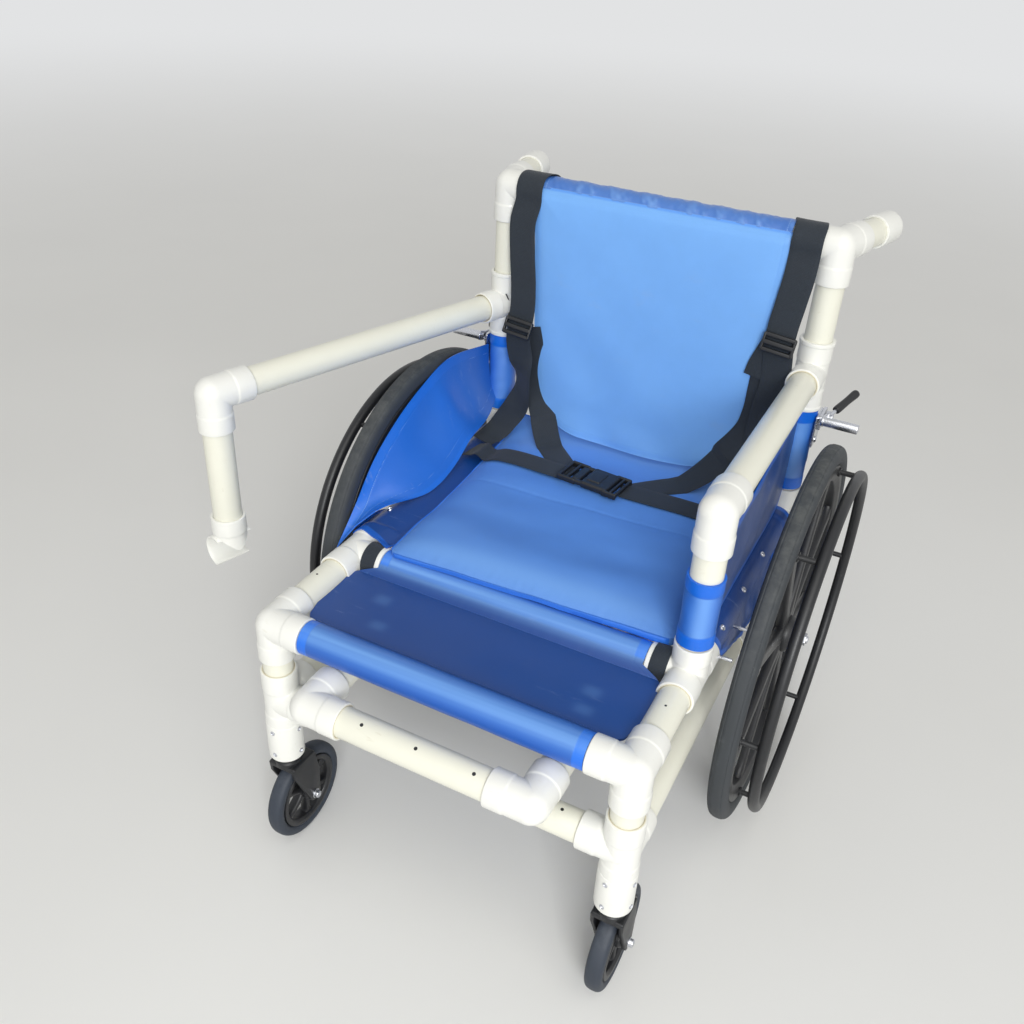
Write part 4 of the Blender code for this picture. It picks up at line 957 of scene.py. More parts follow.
@dataclass
class Pipework:
    """Round pipe and its moulded fittings, added to a shape.

    Attributes:
        body: radius of a fitting between its hubs.
        hub: radius of a hub, the thicker band at the end of each arm.
        mouth: radius of the hole that takes the pipe.
        reach: length of an arm from the fitting's middle to its rim.
        fillet: radius of the rounding where two arms meet.
        step: half the length of the slope from the body up to a hub.
        inset: how far from an elbow's middle its pipe begins.
        sides: how many points each ring has.
    """

    shape: Shape
    body: float = 0.0246
    hub: float = 0.0256
    mouth: float = 0.0214
    reach: float = 0.055
    fillet: float = 0.0028
    step: float = 0.0012
    inset: float = 0.03
    sides: int = 56

    def pipe(self, start: ArrayLike, end: ArrayLike, radius: float = CHAIR.pipe) -> None:
        """Add a straight pipe with eased ends.

        Args:
            start: the middle of one end.
            end: the middle of the other.
            radius: the pipe's outside.
        """
        start, end = np.asarray(start, float), np.asarray(end, float)
        length = float(np.linalg.norm(end - start))
        inner = radius - 0.002
        self.shape.lathe(start, end - start, [(0.0, inner), (0.0, radius), (length, radius), (length, inner)],
                         0.0008, self.sides, fitting=0.0, glue=0.0)

    def hub_rows(self, reach: float, hub_len: float) -> tuple[np.ndarray, np.ndarray]:
        """The outer end of an arm, from the step up to the hub to inside its mouth.

        Args:
            reach: the arm's length.
            hub_len: the hub's length.
        Returns:
            Pairs of distance and radius, and how much glue shows at each.
        """
        foot = reach - hub_len
        rows = eased([(foot - 0.004, self.body), (foot - self.step, self.body), (foot + self.step, self.hub),
                      (reach, self.hub), (reach, self.mouth), (reach - 0.004, self.mouth - 0.0004)],
                     (0, 0.0012, 0.0012, 0.0016, 0.0005, 0))
        return rows, (rows[:, 1] < self.mouth + 0.0012).astype(float)

    def _turn(self, centre: ArrayLike, direction: ArrayLike, rows: np.ndarray, glue: np.ndarray) -> None:
        """Add a turned part of a fitting.

        Args:
            centre: the fitting's middle.
            direction: the part's axis.
            rows: pairs of distance and radius.
            glue: how much glue shows at each.
        """
        self.shape.closed(turned(centre, direction, rows, self.sides), fitting=1.0,
                          glue=np.repeat(glue[:, None], self.sides, axis=1))

    def single(self, centre: ArrayLike, direction: ArrayLike, hub_len: float = 0.0275) -> None:
        """Add the first arm of an elbow: a half ball at the middle, then the arm.

        Args:
            centre: the elbow's middle.
            direction: the arm's axis.
            hub_len: the hub's length.
        """
        t = np.linspace(0.03, pi / 2, 14)
        ball = grid_of(-self.body * np.cos(t), self.body * np.sin(t))
        rows, glue = self.hub_rows(self.reach, hub_len)
        self._turn(centre, direction, np.concatenate((ball, rows)),
                   np.concatenate((np.zeros(len(ball)), glue)))

    def run(self, centre: ArrayLike, direction: ArrayLike, hub_len: float = 0.033, rim: float = 0.0) -> None:
        """Add a straight fitting with a hub at each end.

        Args:
            centre: the fitting's middle.
            direction: its axis.
            hub_len: the length of each hub.
            rim: how far a ring stands out at each hub's end, which then shows no glue.
        """
        rows, glue = self.hub_rows(self.reach, hub_len)
        if rim:
            reach, foot, proud = self.reach, self.reach - hub_len, self.hub + rim
            rows = eased([(foot - 0.004, self.body), (foot - self.step, self.body),
                          (foot + self.step, self.hub), (reach - 0.0066, self.hub), (reach - 0.0054, proud),
                          (reach, proud), (reach, self.mouth), (reach - 0.004, self.mouth - 0.0004)],
                         (0, 0.0012, 0.0012, 0.0006, 0.0006, 0.0014, 0.0005, 0))
            glue = np.zeros(len(rows))
        self._turn(centre, direction, np.concatenate((rows[::-1] * (-1.0, 1.0), rows)),
                   np.concatenate((glue[::-1], glue)))

    def branch(self, centre: ArrayLike, direction: ArrayLike, hosts: ArrayLike,
               hub_len: float = 0.0262) -> None:
        """Add an arm that grows out of other arms with a fillet.

        A ball of the fillet's radius rolls in the corner between the arm and its nearest host. For the
        direction e round the arm, with d the arm's and h the host's axis, the ball's middle is x d + q e,
        where q is body + fillet and x = q (e.h) / (1 - d.h). It touches the arm at x d + body e, and the host
        at the foot of its middle on h plus the rest shortened to the body's radius. The fillet is the arc
        between the two touches.

        Args:
            centre: the fitting's middle.
            direction: the arm's axis.
            hosts: the axes of the arms that it meets, each pointing away from the middle.
            hub_len: length of the arm's hub.
        """
        d = unit(direction)
        hosts = unit(np.asarray(hosts, float))
        first, second = side_axes(d)
        a = around(self.sides)
        e = np.cos(a)[:, None] * first + np.sin(a)[:, None] * second
        q = self.body + self.fillet
        x = q * (e @ hosts.T) / (1.0 - hosts @ d)
        near = np.argmax(x, axis=1)
        h, x = hosts[near], x[np.arange(self.sides), near]
        met = (x > 1e-4)[:, None]
        x = np.maximum(x, 0.0)
        middle = x[:, None] * d + q * e
        along = np.sum(middle * h, axis=1, keepdims=True) * h
        to_host = -unit(middle - along)
        t = np.linspace(0.0, 1.0, 7)[:, None, None]
        arc = middle + self.fillet * unit((1 - t) * to_host + t * (-e))
        plain = x[:, None] * d + self.body * e * (0.9 + 0.1 * t)
        arc = np.where(met, arc, plain)
        inside = np.where(met, along * 0.7 + 0.45 * (middle - along), plain[0] * 0.8)[None]
        rows, glue = (part[1:] for part in self.hub_rows(self.reach, hub_len))
        arm = rows[:, 0, None, None] * d + rows[:, 1, None, None] * e
        grid = np.concatenate((inside, arc, arm)) + np.asarray(centre, float)
        glued = np.concatenate((np.zeros(8), glue))
        self.shape.closed(grid, fitting=1.0, glue=np.repeat(glued[:, None], self.sides, axis=1))

    def elbow(self, centre: ArrayLike, *arms: ArrayLike) -> None:
        """Add an elbow or a corner: the first arm with its ball, and the others grown out of it.

        Args:
            centre: the elbow's middle.
            arms: the axis of each arm.
        """
        self.single(centre, arms[0])
        for k in range(1, len(arms)):
            self.branch(centre, arms[k], arms[:k])

    def tee(self, centre: ArrayLike, run: ArrayLike, *branches: ArrayLike, rim: float = 0.0) -> None:
        """Add a tee or a cross on a straight run.

        Args:
            centre: the tee's middle.
            run: the axis of the straight run.
            branches: the axis of each arm that leaves it.
            rim: how far a ring stands out at each end of the run.
        """
        run = np.asarray(run, float)
        self.run(centre, run, rim=rim)
        for k, arm in enumerate(branches):
            self.branch(centre, arm, [run, -run, *branches[:k]])


def screw_head(shape: Shape, point: ArrayLike, normal: ArrayLike, radius: float, height: float) -> None:
    """Add a pan-head screw with a cross recess.

    The head is a turned dome; inside 0.6 of its radius, points near an arm of a cross sink.

    Args:
        shape: the piece it joins.
        point: where it sits.
        normal: the way it faces.
        radius: the head's radius.
        height: how proud it stands.
    """
    profile = np.array([(-0.0015, 0.6), (-0.0015, 1.0), (0.0, 1.0), (0.45 * height, 0.99),
                        (0.8 * height, 0.86), (height, 0.62), (height, 0.58), (height, 0.42),
                        (height, 0.24), (height, 0.06)])
    profile[:, 1] *= radius
    first, second = side_axes(normal)
    a = around(24) + 0.13
    flat = profile[:, 1, None] * np.stack((np.cos(a), np.sin(a)))[:, None, :]
    sunk = (np.abs(flat).min(axis=0) < 0.15 * radius) & (profile[:, 1, None] < 0.6 * radius)
    along = profile[:, 0, None] - np.where(sunk, 0.7 * height, 0.0)
    shape.closed(np.asarray(point, float) + along[..., None] * unit(normal) + flat[0][..., None] * first
                 + flat[1][..., None] * second)


def hole_shade_disc(shape: Shape, point: ArrayLike, normal: ArrayLike, radius: float) -> None:
    """Add painted shade for a drilled hole: a shallow black disc that follows the pipe, with no hole cut.

    Args:
        shape: the piece it joins.
        point: where it sits.
        normal: the way it faces.
        radius: the hole's radius.
    """
    profile = [(-0.001, radius), (0.00025, radius), (0.0003, 0.9 * radius), (0.00035, 0.3 * radius)]
    shape.closed(turned(point, normal, profile, 20))


def add_spokes(shape: Shape, centre: ArrayLike, count: int, section: tuple) -> None:
    """Add spokes round X: for each turn, the centre plus r along the spoke, u across it and x through it.

    Args:
        shape: the piece they join.
        centre: the wheel's middle.
        count: how many spokes there are.
        section: r, u and x of one spoke, each a grid.
    """
    r, u, x = (part[..., None] for part in section)
    for k in range(count):
        turn = 2.0 * pi * (k + 0.5) / count
        out = np.array((0.0, cos(turn), sin(turn)))
        over = np.array((0.0, -sin(turn), cos(turn)))
        shape.closed(np.asarray(centre, float) + r * out + u * over + x * X)


@dataclass
class SideFrame(Part):
    """Leg, corner, rails, upright and handle of one side."""

    side: str
    sign: float
    splay: float
    collar: tuple = (0.184, 0.2505)
    collar_radius: float = 0.0262
    handle: float = 0.147
    handle_cap: float = 0.047

    def at(self, y: float, z: float) -> np.ndarray:
        """A point in this side's plane."""
        return np.array((self.sign * CHAIR.half_width, y, z))

    def build(self) -> None:
        """Build this side's pieces."""
        self._leg()
        self._corner()
        self._rails()
        self._upright()
        self._handle()

    def _leg(self) -> None:
        """Caster socket, leg pipe and lower fitting."""
        shape = Shape(f"leg_{self.side}_pipework")
        work = Pipework(shape)
        z0, z1 = self.collar
        r = self.collar_radius
        shape.lathe(self.at(0.0, 0.0), Z,
                    [(z0 + 0.004, 0.01), (z0, 0.011), (z0, r), (z1, r), (z1, CHAIR.pipe - 0.001)],
                    (0, 0.001, 0.0022, 0.0016, 0), work.sides, **FITTING)
        work.pipe(self.at(0.0, z1 - 0.004), self.at(0.0, CHAIR.seat - work.reach + 0.026))
        work.tee(self.at(0.0, CHAIR.low), Z, -self.sign * X, Y)
        self.piece(shape, Finish.PIPE, f"leg_{self.side}")

    def _corner(self) -> None:
        """Three-way elbow at the front."""
        shape = Shape(f"corner_{self.side}_elbow")
        Pipework(shape).elbow(self.at(0.0, CHAIR.seat), -Z, -self.sign * X, Y)
        self.piece(shape, Finish.PIPE, f"corner_{self.side}")

    def _rails(self) -> None:
        """Seat rail and lower rail with their tees."""
        for rail, z, y in (("seat_rail", CHAIR.seat, CHAIR.tee), ("lower_rail", CHAIR.low, CHAIR.axle)):
            shape = Shape(f"{rail}_{self.side}_pipework")
            work = Pipework(shape)
            work.pipe(self.at(work.reach - 0.03, z), self.at(CHAIR.back - work.reach + 0.03, z))
            branches = [-self.sign * X] + ([Z] if (rail, self.side) == ("seat_rail", "right") else [])
            work.tee(self.at(y, z), Y, *branches)
            if rail == "lower_rail":
                shape.lathe(self.at(y, CHAIR.axle_height), self.sign * X,
                            [(0.0, 0.017), (0.035, 0.017), (0.035, 0.0085), (0.032, 0.0083)],
                            (0, 0.0015, 0.0006, 0), 40, **FITTING)
            self.piece(shape, Finish.PIPE, f"{rail}_{self.side}")

    def _upright(self) -> None:
        """Rear post with its foot elbow and its tee at the seat."""
        shape = Shape(f"upright_{self.side}_pipework")
        work = Pipework(shape)
        work.elbow(self.at(CHAIR.back, CHAIR.low), Z, -Y, -self.sign * X)
        work.tee(self.at(CHAIR.back, CHAIR.seat), Z, -Y)
        work.pipe(self.at(CHAIR.back, CHAIR.low + 0.03), self.at(CHAIR.back, CHAIR.top - 0.025))
        self.piece(shape, Finish.PIPE, f"upright_{self.side}")

    def _handle(self) -> None:
        """Top elbow, push handle and its cap."""
        shape = Shape(f"handle_{self.side}_pipework")
        work = Pipework(shape)
        top = self.at(CHAIR.back, CHAIR.top)
        turn = radians(self.splay)
        along = np.array((self.sign * sin(turn), cos(turn), 0.0))
        work.elbow(top, -Z, -self.sign * X, along)
        cap = self.handle - self.handle_cap
        work.pipe(top + along * work.inset, top + along * (cap + 0.01))
        shape.lathe(top, along, [(cap + 0.003, 0.0212), (cap, 0.0212), (cap, 0.0246), (self.handle, 0.0246),
                                 (self.handle, 0.001)], (0, 0.0004, 0.0012, 0.0045, 0), work.sides,
                    **FITTING)
        self.piece(shape, Finish.PIPE, f"handle_{self.side}")


@dataclass
class Crossbars(Part):
    """The pipes across the chair, and the guides that the footrest's rails slide in."""

    guide_radius: float = 0.0268
    guide_bore: float = 0.0222
    guide_neck: float = 0.016
    guide_x: float = 0.162
    guide_height: float = 0.37

    def build(self) -> None:
        """Build the six crossbars."""
        reach = CHAIR.half_width - 0.025
        places = {"front_crossbar": (0.0, CHAIR.seat), "lower_crossbar": (0.0, CHAIR.low),
                  "rear_crossbar": (CHAIR.back, CHAIR.low), "top_crossbar": (CHAIR.back, CHAIR.top),
                  "seat_crossbar": (CHAIR.tee, CHAIR.seat), "mid_crossbar": (CHAIR.axle, CHAIR.low)}
        halves = {"seat_crossbar": 0.02, "mid_crossbar": 0.0275}
        for name, (y, z) in places.items():
            shape = Shape(f"{name}_pipe")
            Pipework(shape).pipe((-reach, y, z), (reach, y, z))
            for s in (-1.0, 1.0) if name in halves else ():
                middle = np.array((s * self.guide_x, y, self.guide_height))
                half = halves[name]
                shape.lathe(middle, Y, [(-half, self.guide_bore), (half, self.guide_bore),
                                        (half, self.guide_radius), (-half, self.guide_radius)], 0.0015, 48,
                            ring=True, **FITTING)
                apart = z - self.guide_height
                neck = [(0.0, self.guide_neck), (abs(apart) - self.guide_radius + 0.006, self.guide_neck)]
                start = middle + np.array((0.0, 0.0, copysign(self.guide_radius - 0.003, apart)))
                shape.closed(turned(start, Z * copysign(1.0, apart), neck, 32), **FITTING)
            self.piece(shape, Finish.PIPE, name)


@dataclass
class FixedArm(Part):
    """The armrest at +X: rear tee, pipe, elbow and post."""

    def build(self) -> None:
        """Build the tee and the arm."""
        x = CHAIR.half_width
        rear, elbow = np.array((x, CHAIR.back, CHAIR.arm)), np.array((x, CHAIR.tee, CHAIR.arm))
        shape = Shape("arm_right_tee_fitting")
        Pipework(shape).tee(rear, Z, -Y, rim=0.0012)
        self.piece(shape, Finish.PIPE, "arm_right_tee")
        shape = Shape("arm_right_pipework")
        work = Pipework(shape)
        work.elbow(elbow, Y, -Z)
        work.pipe(elbow + work.inset * Y, rear - 0.026 * Y)
        work.pipe(elbow - work.inset * Z, (x, CHAIR.tee, CHAIR.seat + 0.026))
        self.piece(shape, Finish.PIPE, "arm_right")


@dataclass
class SwingArm(Part):
    """The armrest at -X, which turns out on its slip tee and clips on the seat rail when shut."""

    opened: float = 17.74
    reach: float = 0.5623
    clip_half: float = 0.028
    clip_outer: float = 0.0258
    clip_inner: float = 0.0217
    saddle: float = 0.0249
    bore: float = 0.0224

    def _shape(self, name: str) -> Shape:
        """A shape whose zero stands at the pivot, turned with the arm."""
        return Shape(name, (-CHAIR.half_width, CHAIR.back, CHAIR.arm), -radians(self.opened))

    def build(self) -> None:
        """Build the slip tee, the arm and its clip."""
        shape = self._shape("swing_tee_fitting")
        Pipework(shape, mouth=0.0222).tee((0, 0, 0), Z, -Y, rim=0.0012)
        self.piece(shape, Finish.PIPE, "swing_tee", body="swing_arm")
        # Painted shadow: a thin black sheet laid on the tee's wall stands for the shadow in the gap between
        # the tee and the upright.
        shape = self._shape("swing_tee_painted_gap_shadow")
        turn = radians(-63.0 + self.opened) + np.linspace(-0.045, 0.045, 6)[:, None]
        z = np.linspace(-0.03, 0.022, 20)[None, :]
        bow = turn + 0.3 * (1.0 - ((z + 0.004) / 0.026) ** 2)
        ring = grid_of(0.0256 * np.cos(bow), 0.0256 * np.sin(bow), z)
        shape.slab(ring, 0.001, fitting=0.0, glue=0.0)
        self.piece(shape, Finish.MOULDED, body="swing_arm")
        shape = self._shape("swing_arm_pipework")
        work = Pipework(shape)
        elbow = np.array((0.0, -self.reach, 0.0))
        drop = CHAIR.seat - CHAIR.arm
        work.elbow(elbow, Y, -Z)
        work.pipe((0, -0.028, 0), elbow + work.inset * Y)
        work.pipe(elbow - work.inset * Z, elbow + (drop + 0.029) * Z)
        self.piece(shape, Finish.PIPE, "swing_arm", body="swing_arm")
        self._clip(elbow + drop * Z)

    def _clip(self, middle: np.ndarray) -> None:
        """The clip: an arm whose run is cut away to a shell, open on the sitter's side.

        Args:
            middle: the middle of the seat rail under the arm's post.
        """
        shape = self._shape("swing_clip_fitting")
        work = Pipework(shape)
        rows, _ = work.hub_rows(work.reach, 0.0262)
        a = around(work.sides)
        side = np.array((CHAIR.pipe, self.saddle, work.body, *rows[:, 1], CHAIR.pipe))
        saddle = [np.sqrt(np.clip(on ** 2 - (r * np.cos(a)) ** 2, 0.0, None))
                  for r, on in ((CHAIR.pipe, self.bore), (self.saddle, 0.0252))]
        level = [*saddle, saddle[1] + 0.003, *(np.maximum(z, saddle[1] + 0.0034) for z in rows[:, 0]),
                 np.full(len(a), work.reach - 0.026)]
        tube = grid_of(side[:, None] * np.cos(a), side[:, None] * np.sin(a), np.array(level))
        shape.closed(tube + middle, wrap_rows=True, **FITTING)
        turn = np.radians(np.linspace(62.0, 268.0, 60))[:, None]
        y = np.linspace(-self.clip_half, self.clip_half, 24)[None, :]
        radius = (self.clip_outer + self.clip_inner) / 2
        grid = middle + grid_of(radius * np.cos(turn), y, radius * np.sin(turn))
        thick = self.clip_outer - self.clip_inner
        edge = np.minimum(1.0, np.minimum(np.arange(60), np.arange(60)[::-1])[:, None] / 3.0)
        rim = np.minimum(1.0, np.minimum(np.arange(24), np.arange(24)[::-1])[None, :] / 2.0)
        shape.slab(grid, thick * (0.45 + 0.55 * np.sqrt(edge * rim)), **FITTING)
        self.piece(shape, Finish.PIPE, "swing_clip", body="swing_arm")


@dataclass
class Footrest(Part):
    """The bow that slides out under the seat."""

    half: float = 0.162
    front: float = -0.061
    height: float = 0.37
    rear: float = 0.715
    cap: float = 0.03

    def build(self) -> None:
        """Build the bar, the elbows, the rails and their caps."""
        shape = Shape("footrest_bow_pipework")
        work = Pipework(shape)
        work.pipe((-self.half + 0.03, self.front, self.height), (self.half - 0.03, self.front, self.height))
        for s in (-1.0, 1.0):
            elbow = np.array((s * self.half, self.front, self.height))
            work.elbow(elbow, Y, -s * X)
            end = np.array((elbow[0], self.rear, self.height))
            work.pipe(elbow + work.inset * Y, end - 0.004 * Y)
            shape.lathe(end - self.cap * Y, Y, [(0.0, 0.0208), (0.0, 0.0244), (self.cap, 0.0244),
                                                (self.cap, 0.001)], (0, 0.0012, 0.004, 0), 48, **FITTING)
        self.piece(shape, Finish.PIPE, "footrest_bow", body="footrest")


@dataclass
class RearWheel(Part):
    """Tyre, moulded wheel, handrim and axle bolt of one side."""

    side: str
    sign: float
    centre_x: float = 0.328
    radius: float = 0.305
    tyre_half: float = 0.015
    tyre_inner: float = 0.273
    rim_inner: float = 0.25
    hub: float = 0.03
    spokes: int = 8
    handrim: float = 0.268
    handrim_tube: float = 0.0085
    handrim_x: float = 0.374
    standoffs: int = 6

    def middle(self) -> np.ndarray:
        """The wheel's middle."""
        return np.array((self.sign * self.centre_x, CHAIR.axle, CHAIR.axle_height))

    def _ring(self, loop: np.ndarray, sides: int = 144) -> np.ndarray:
        """A closed loop of (outward distance from the wheel's middle plane, radius) turned round the axle."""
        return turned(self.middle(), self.sign * X, loop, sides)

    def build(self) -> None:
        """Build the wheel's four pieces."""
        shape = Shape(f"rear_tyre_{self.side}_rubber")
        shape.closed(self._ring(self._tyre()), wrap_rows=True)
        self.piece(shape, Finish.TYRE, f"rear_tyre_{self.side}", body=f"wheel_{self.side}")
        self._wheel()
        self._handrim()
        self._axle()

    def _tyre(self) -> np.ndarray:
        """The tyre's section: a rounded square with two shallow grooves in its tread.

        Returns:
            Pairs of distance from the middle plane and radius.
        """
        t = around(72)
        c, s = np.cos(t), np.sin(t)
        across = self.tyre_half * squared(c, 0.72)
        half = (self.radius - self.tyre_inner) / 2
        up = self.tyre_inner + half + half * squared(s, 0.86)
        groove = bell(np.abs(across) - 0.0078, 0.0007) * (s > 0.2)
        return grid_of(across, up - 0.0009 * groove)

    def _wheel(self) -> None:
        """Rim, hub and spokes. A spoke is a rounded bar whose width grows towards the hub and the rim."""
        shape = Shape(f"rear_wheel_{self.side}_moulding")
        loop = eased([(-0.0122, 0.275), (0.0122, 0.275), (0.0122, 0.262), (0.01, 0.256), (0.008, 0.2495),
                      (-0.008, 0.2495), (-0.01, 0.256), (-0.0122, 0.262)], 0.002, closed=True)
        shape.closed(self._ring(loop), wrap_rows=True)
        shape.lathe(self.middle(), self.sign * X, [(-0.029, 0.01), (-0.029, 0.02), (-0.022, 0.0245),
                                                   (-0.012, self.hub), (0.012, self.hub), (0.022, 0.0245),
                                                   (0.03, 0.02), (0.03, 0.0085)], 0.003, 64)
        r = np.linspace(self.hub - 0.006, self.rim_inner + 0.006, 40)[:, None]
        a = around(20)[None, :]
        flare = np.exp(-(r - self.hub) / 0.014) * 0.008 + np.exp(-(self.rim_inner - r) / 0.012) * 0.01
        half = 0.0095 + 0.003 * (r / self.rim_inner) + flare
        depth = 0.0085 - 0.0018 * (r / self.rim_inner)
        rib = 1.0 - 0.3 * bell(np.cos(a), 0.45) * np.sin(pi * held((r - 0.04) / 0.2))
        u = half * squared(np.cos(a), 0.55)
        x = depth * rib * squared(np.sin(a), 0.55)
        add_spokes(shape, self.middle(), self.spokes, (r, u, x))
        self.piece(shape, Finish.MOULDED, f"rear_rim_{self.side}", body=f"wheel_{self.side}")

    def _handrim(self) -> None:
        """Handrim tube on its standoffs."""
        shape = Shape(f"handrim_{self.side}_tube")
        t = around(24)
        offset = self.handrim_x - self.centre_x
        loop = grid_of(offset + self.handrim_tube * np.cos(t), self.handrim + self.handrim_tube * np.sin(t))
        shape.closed(self._ring(loop), wrap_rows=True)
        for k in range(self.standoffs):
            turn = 2.0 * pi * k / self.standoffs
            start = np.array((self.sign * (self.centre_x + 0.0118), CHAIR.axle, CHAIR.axle_height))
            start += (self.handrim - 0.0025) * np.array((0.0, cos(turn), sin(turn)))
            shape.lathe(start, self.sign * X, [(0.0, 0.007), (0.0, 0.0075), (0.0035, 0.0075),
                                               (0.0035, 0.0044), (offset - 0.014, 0.0044)],
                        (0, 0.0005, 0.0008, 0.0008, 0), 20)
        self.piece(shape, Finish.MOULDED, f"handrim_{self.side}", body=f"wheel_{self.side}")

    def _axle(self) -> None:
        """Axle bolt with its washer and nut."""
        shape = Shape(f"axle_bolt_{self.side}_steel")
        start = np.array((0.0, CHAIR.axle, CHAIR.axle_height))
        shape.lathe(start, self.sign * X, [(0.268, 0.006), (0.3588, 0.006), (0.3588, 0.014), (0.3606, 0.014),
                                           (0.3606, 0.0108), (0.3632, 0.0108), (0.3632, 0.0064),
                                           (0.3706, 0.0062), (0.3716, 0.004), (0.3716, 0.0005)],
                    (0, 0, 0.0004, 0.0006, 0, 0.0006, 0, 0.0008, 0.0004, 0), 36)
        turn = np.arange(6) * pi / 3
        hexagon = grid_of(np.cos(turn), np.sin(turn)) * 0.01
        shape.plate(hexagon + (CHAIR.axle, CHAIR.axle_height), 0, self.sign * 0.3605, self.sign * 0.3684,
                    0.0008)
        self.piece(shape, Finish.STEEL, f"axle_bolt_{self.side}")


@dataclass
class Caster(Part):
    """Fork, wheel and tyre of one front caster."""

    side: str
    sign: float
    radius: float = 0.0762
    trail: float = 0.028
    half: float = 0.0125
    spokes: int = 6

    def build(self) -> None:
        """Build the caster's three pieces, in coordinates whose zero is under the leg."""
        origin = (self.sign * CHAIR.half_width, 0.0, 0.0)
        self._fork(origin)
        axle = (origin[0], self.trail, self.radius)
        roller = f"caster_roller_{self.side}"
        shape = Shape(f"caster_wheel_{self.side}_moulding", axle)
        shape.lathe((0, 0, 0), X, [(-0.0118, 0.059), (0.0118, 0.059), (0.0118, 0.052), (0.008, 0.0485),
                                   (-0.008, 0.0485), (-0.0118, 0.052)], 0.0015, 96, ring=True)
        shape.lathe((0, 0, 0), X, [(-0.0165, 0.0046), (-0.0165, 0.0105), (-0.012, 0.0135), (0.012, 0.0135),
                                   (0.0165, 0.0105), (0.0165, 0.0046)], 0.0012, 40)
        r = np.linspace(0.01, 0.051, 16)[:, None]
        a = around(16)[None, :]
        half = 0.0042 + 0.003 * np.exp(-(r - 0.012) / 0.006) + 0.004 * np.exp(-(0.049 - r) / 0.005)
        u = half * squared(np.cos(a), 0.6)
        x = 0.0075 * squared(np.sin(a), 0.6) * np.ones_like(r)
        add_spokes(shape, (0, 0, 0), self.spokes, (r, u, x))
        self.piece(shape, Finish.MOULDED, f"caster_wheel_{self.side}", body=roller)
        shape = Shape(f"caster_tyre_{self.side}_rubber", axle)
        t = around(48)
        across = self.half * squared(np.cos(t), 0.7)
        tread = 0.0671 + 0.0091 * squared(np.sin(t), 0.9)
        shape.closed(turned((0, 0, 0), X, grid_of(across, tread), 112), wrap_rows=True)
        self.piece(shape, Finish.CASTER, f"caster_tyre_{self.side}", body=roller)

    def _fork(self, origin: tuple) -> None:
        """Swivel head, crown and two blades with the axle bolt through them.

        Args:
            origin: the place on the floor under the leg.
        """
        shape = Shape(f"caster_fork_{self.side}_moulding", origin)
        shape.lathe((0, 0, 0), Z, [(0.16, 0.019), (0.17, 0.019), (0.172, 0.0165), (0.1816, 0.0165),
                                   (0.1816, 0.0082), (0.248, 0.008), (0.248, 0.001)],
                    (0, 0.001, 0.001, 0.0008, 0.0004, 0.0008, 0), 40)
        shape.closed(rounded_box((0.0, 0.0085, 0.16), (0.0232, 0.025, 0.005), 0.0032))
        lobe = pi + np.linspace(0.0, pi, 13)
        low = grid_of(self.trail + 0.0125 * np.cos(lobe), self.radius + 0.0125 * np.sin(lobe))
        outline = np.concatenate(([(-0.0165, 0.163), (-0.015, 0.145)], low,
                                  [(0.0425, 0.12), (0.0335, 0.163)]))
        for s in (-1.0, 1.0):
            shape.plate(outline, 0, s * 0.0172, s * 0.0232, 0.0014)
        self.piece(shape, Finish.MOULDED, f"caster_fork_{self.side}", body=f"caster_{self.side}")
        shape = Shape(f"caster_bolt_{self.side}", origin)
        for s in (-1.0, 1.0):
            shape.lathe((0.0, self.trail, self.radius), s * X,
                        [(0.0228, 0.004), (0.0232, 0.0075), (0.0242, 0.0075), (0.0242, 0.0062),
                         (0.0292, 0.0058), (0.0306, 0.0038), (0.0306, 0.0005)],
                        (0, 0, 0.0003, 0.0003, 0.001, 0.0006, 0), 28)
        self.piece(shape, Finish.STEEL, body=f"caster_{self.side}")


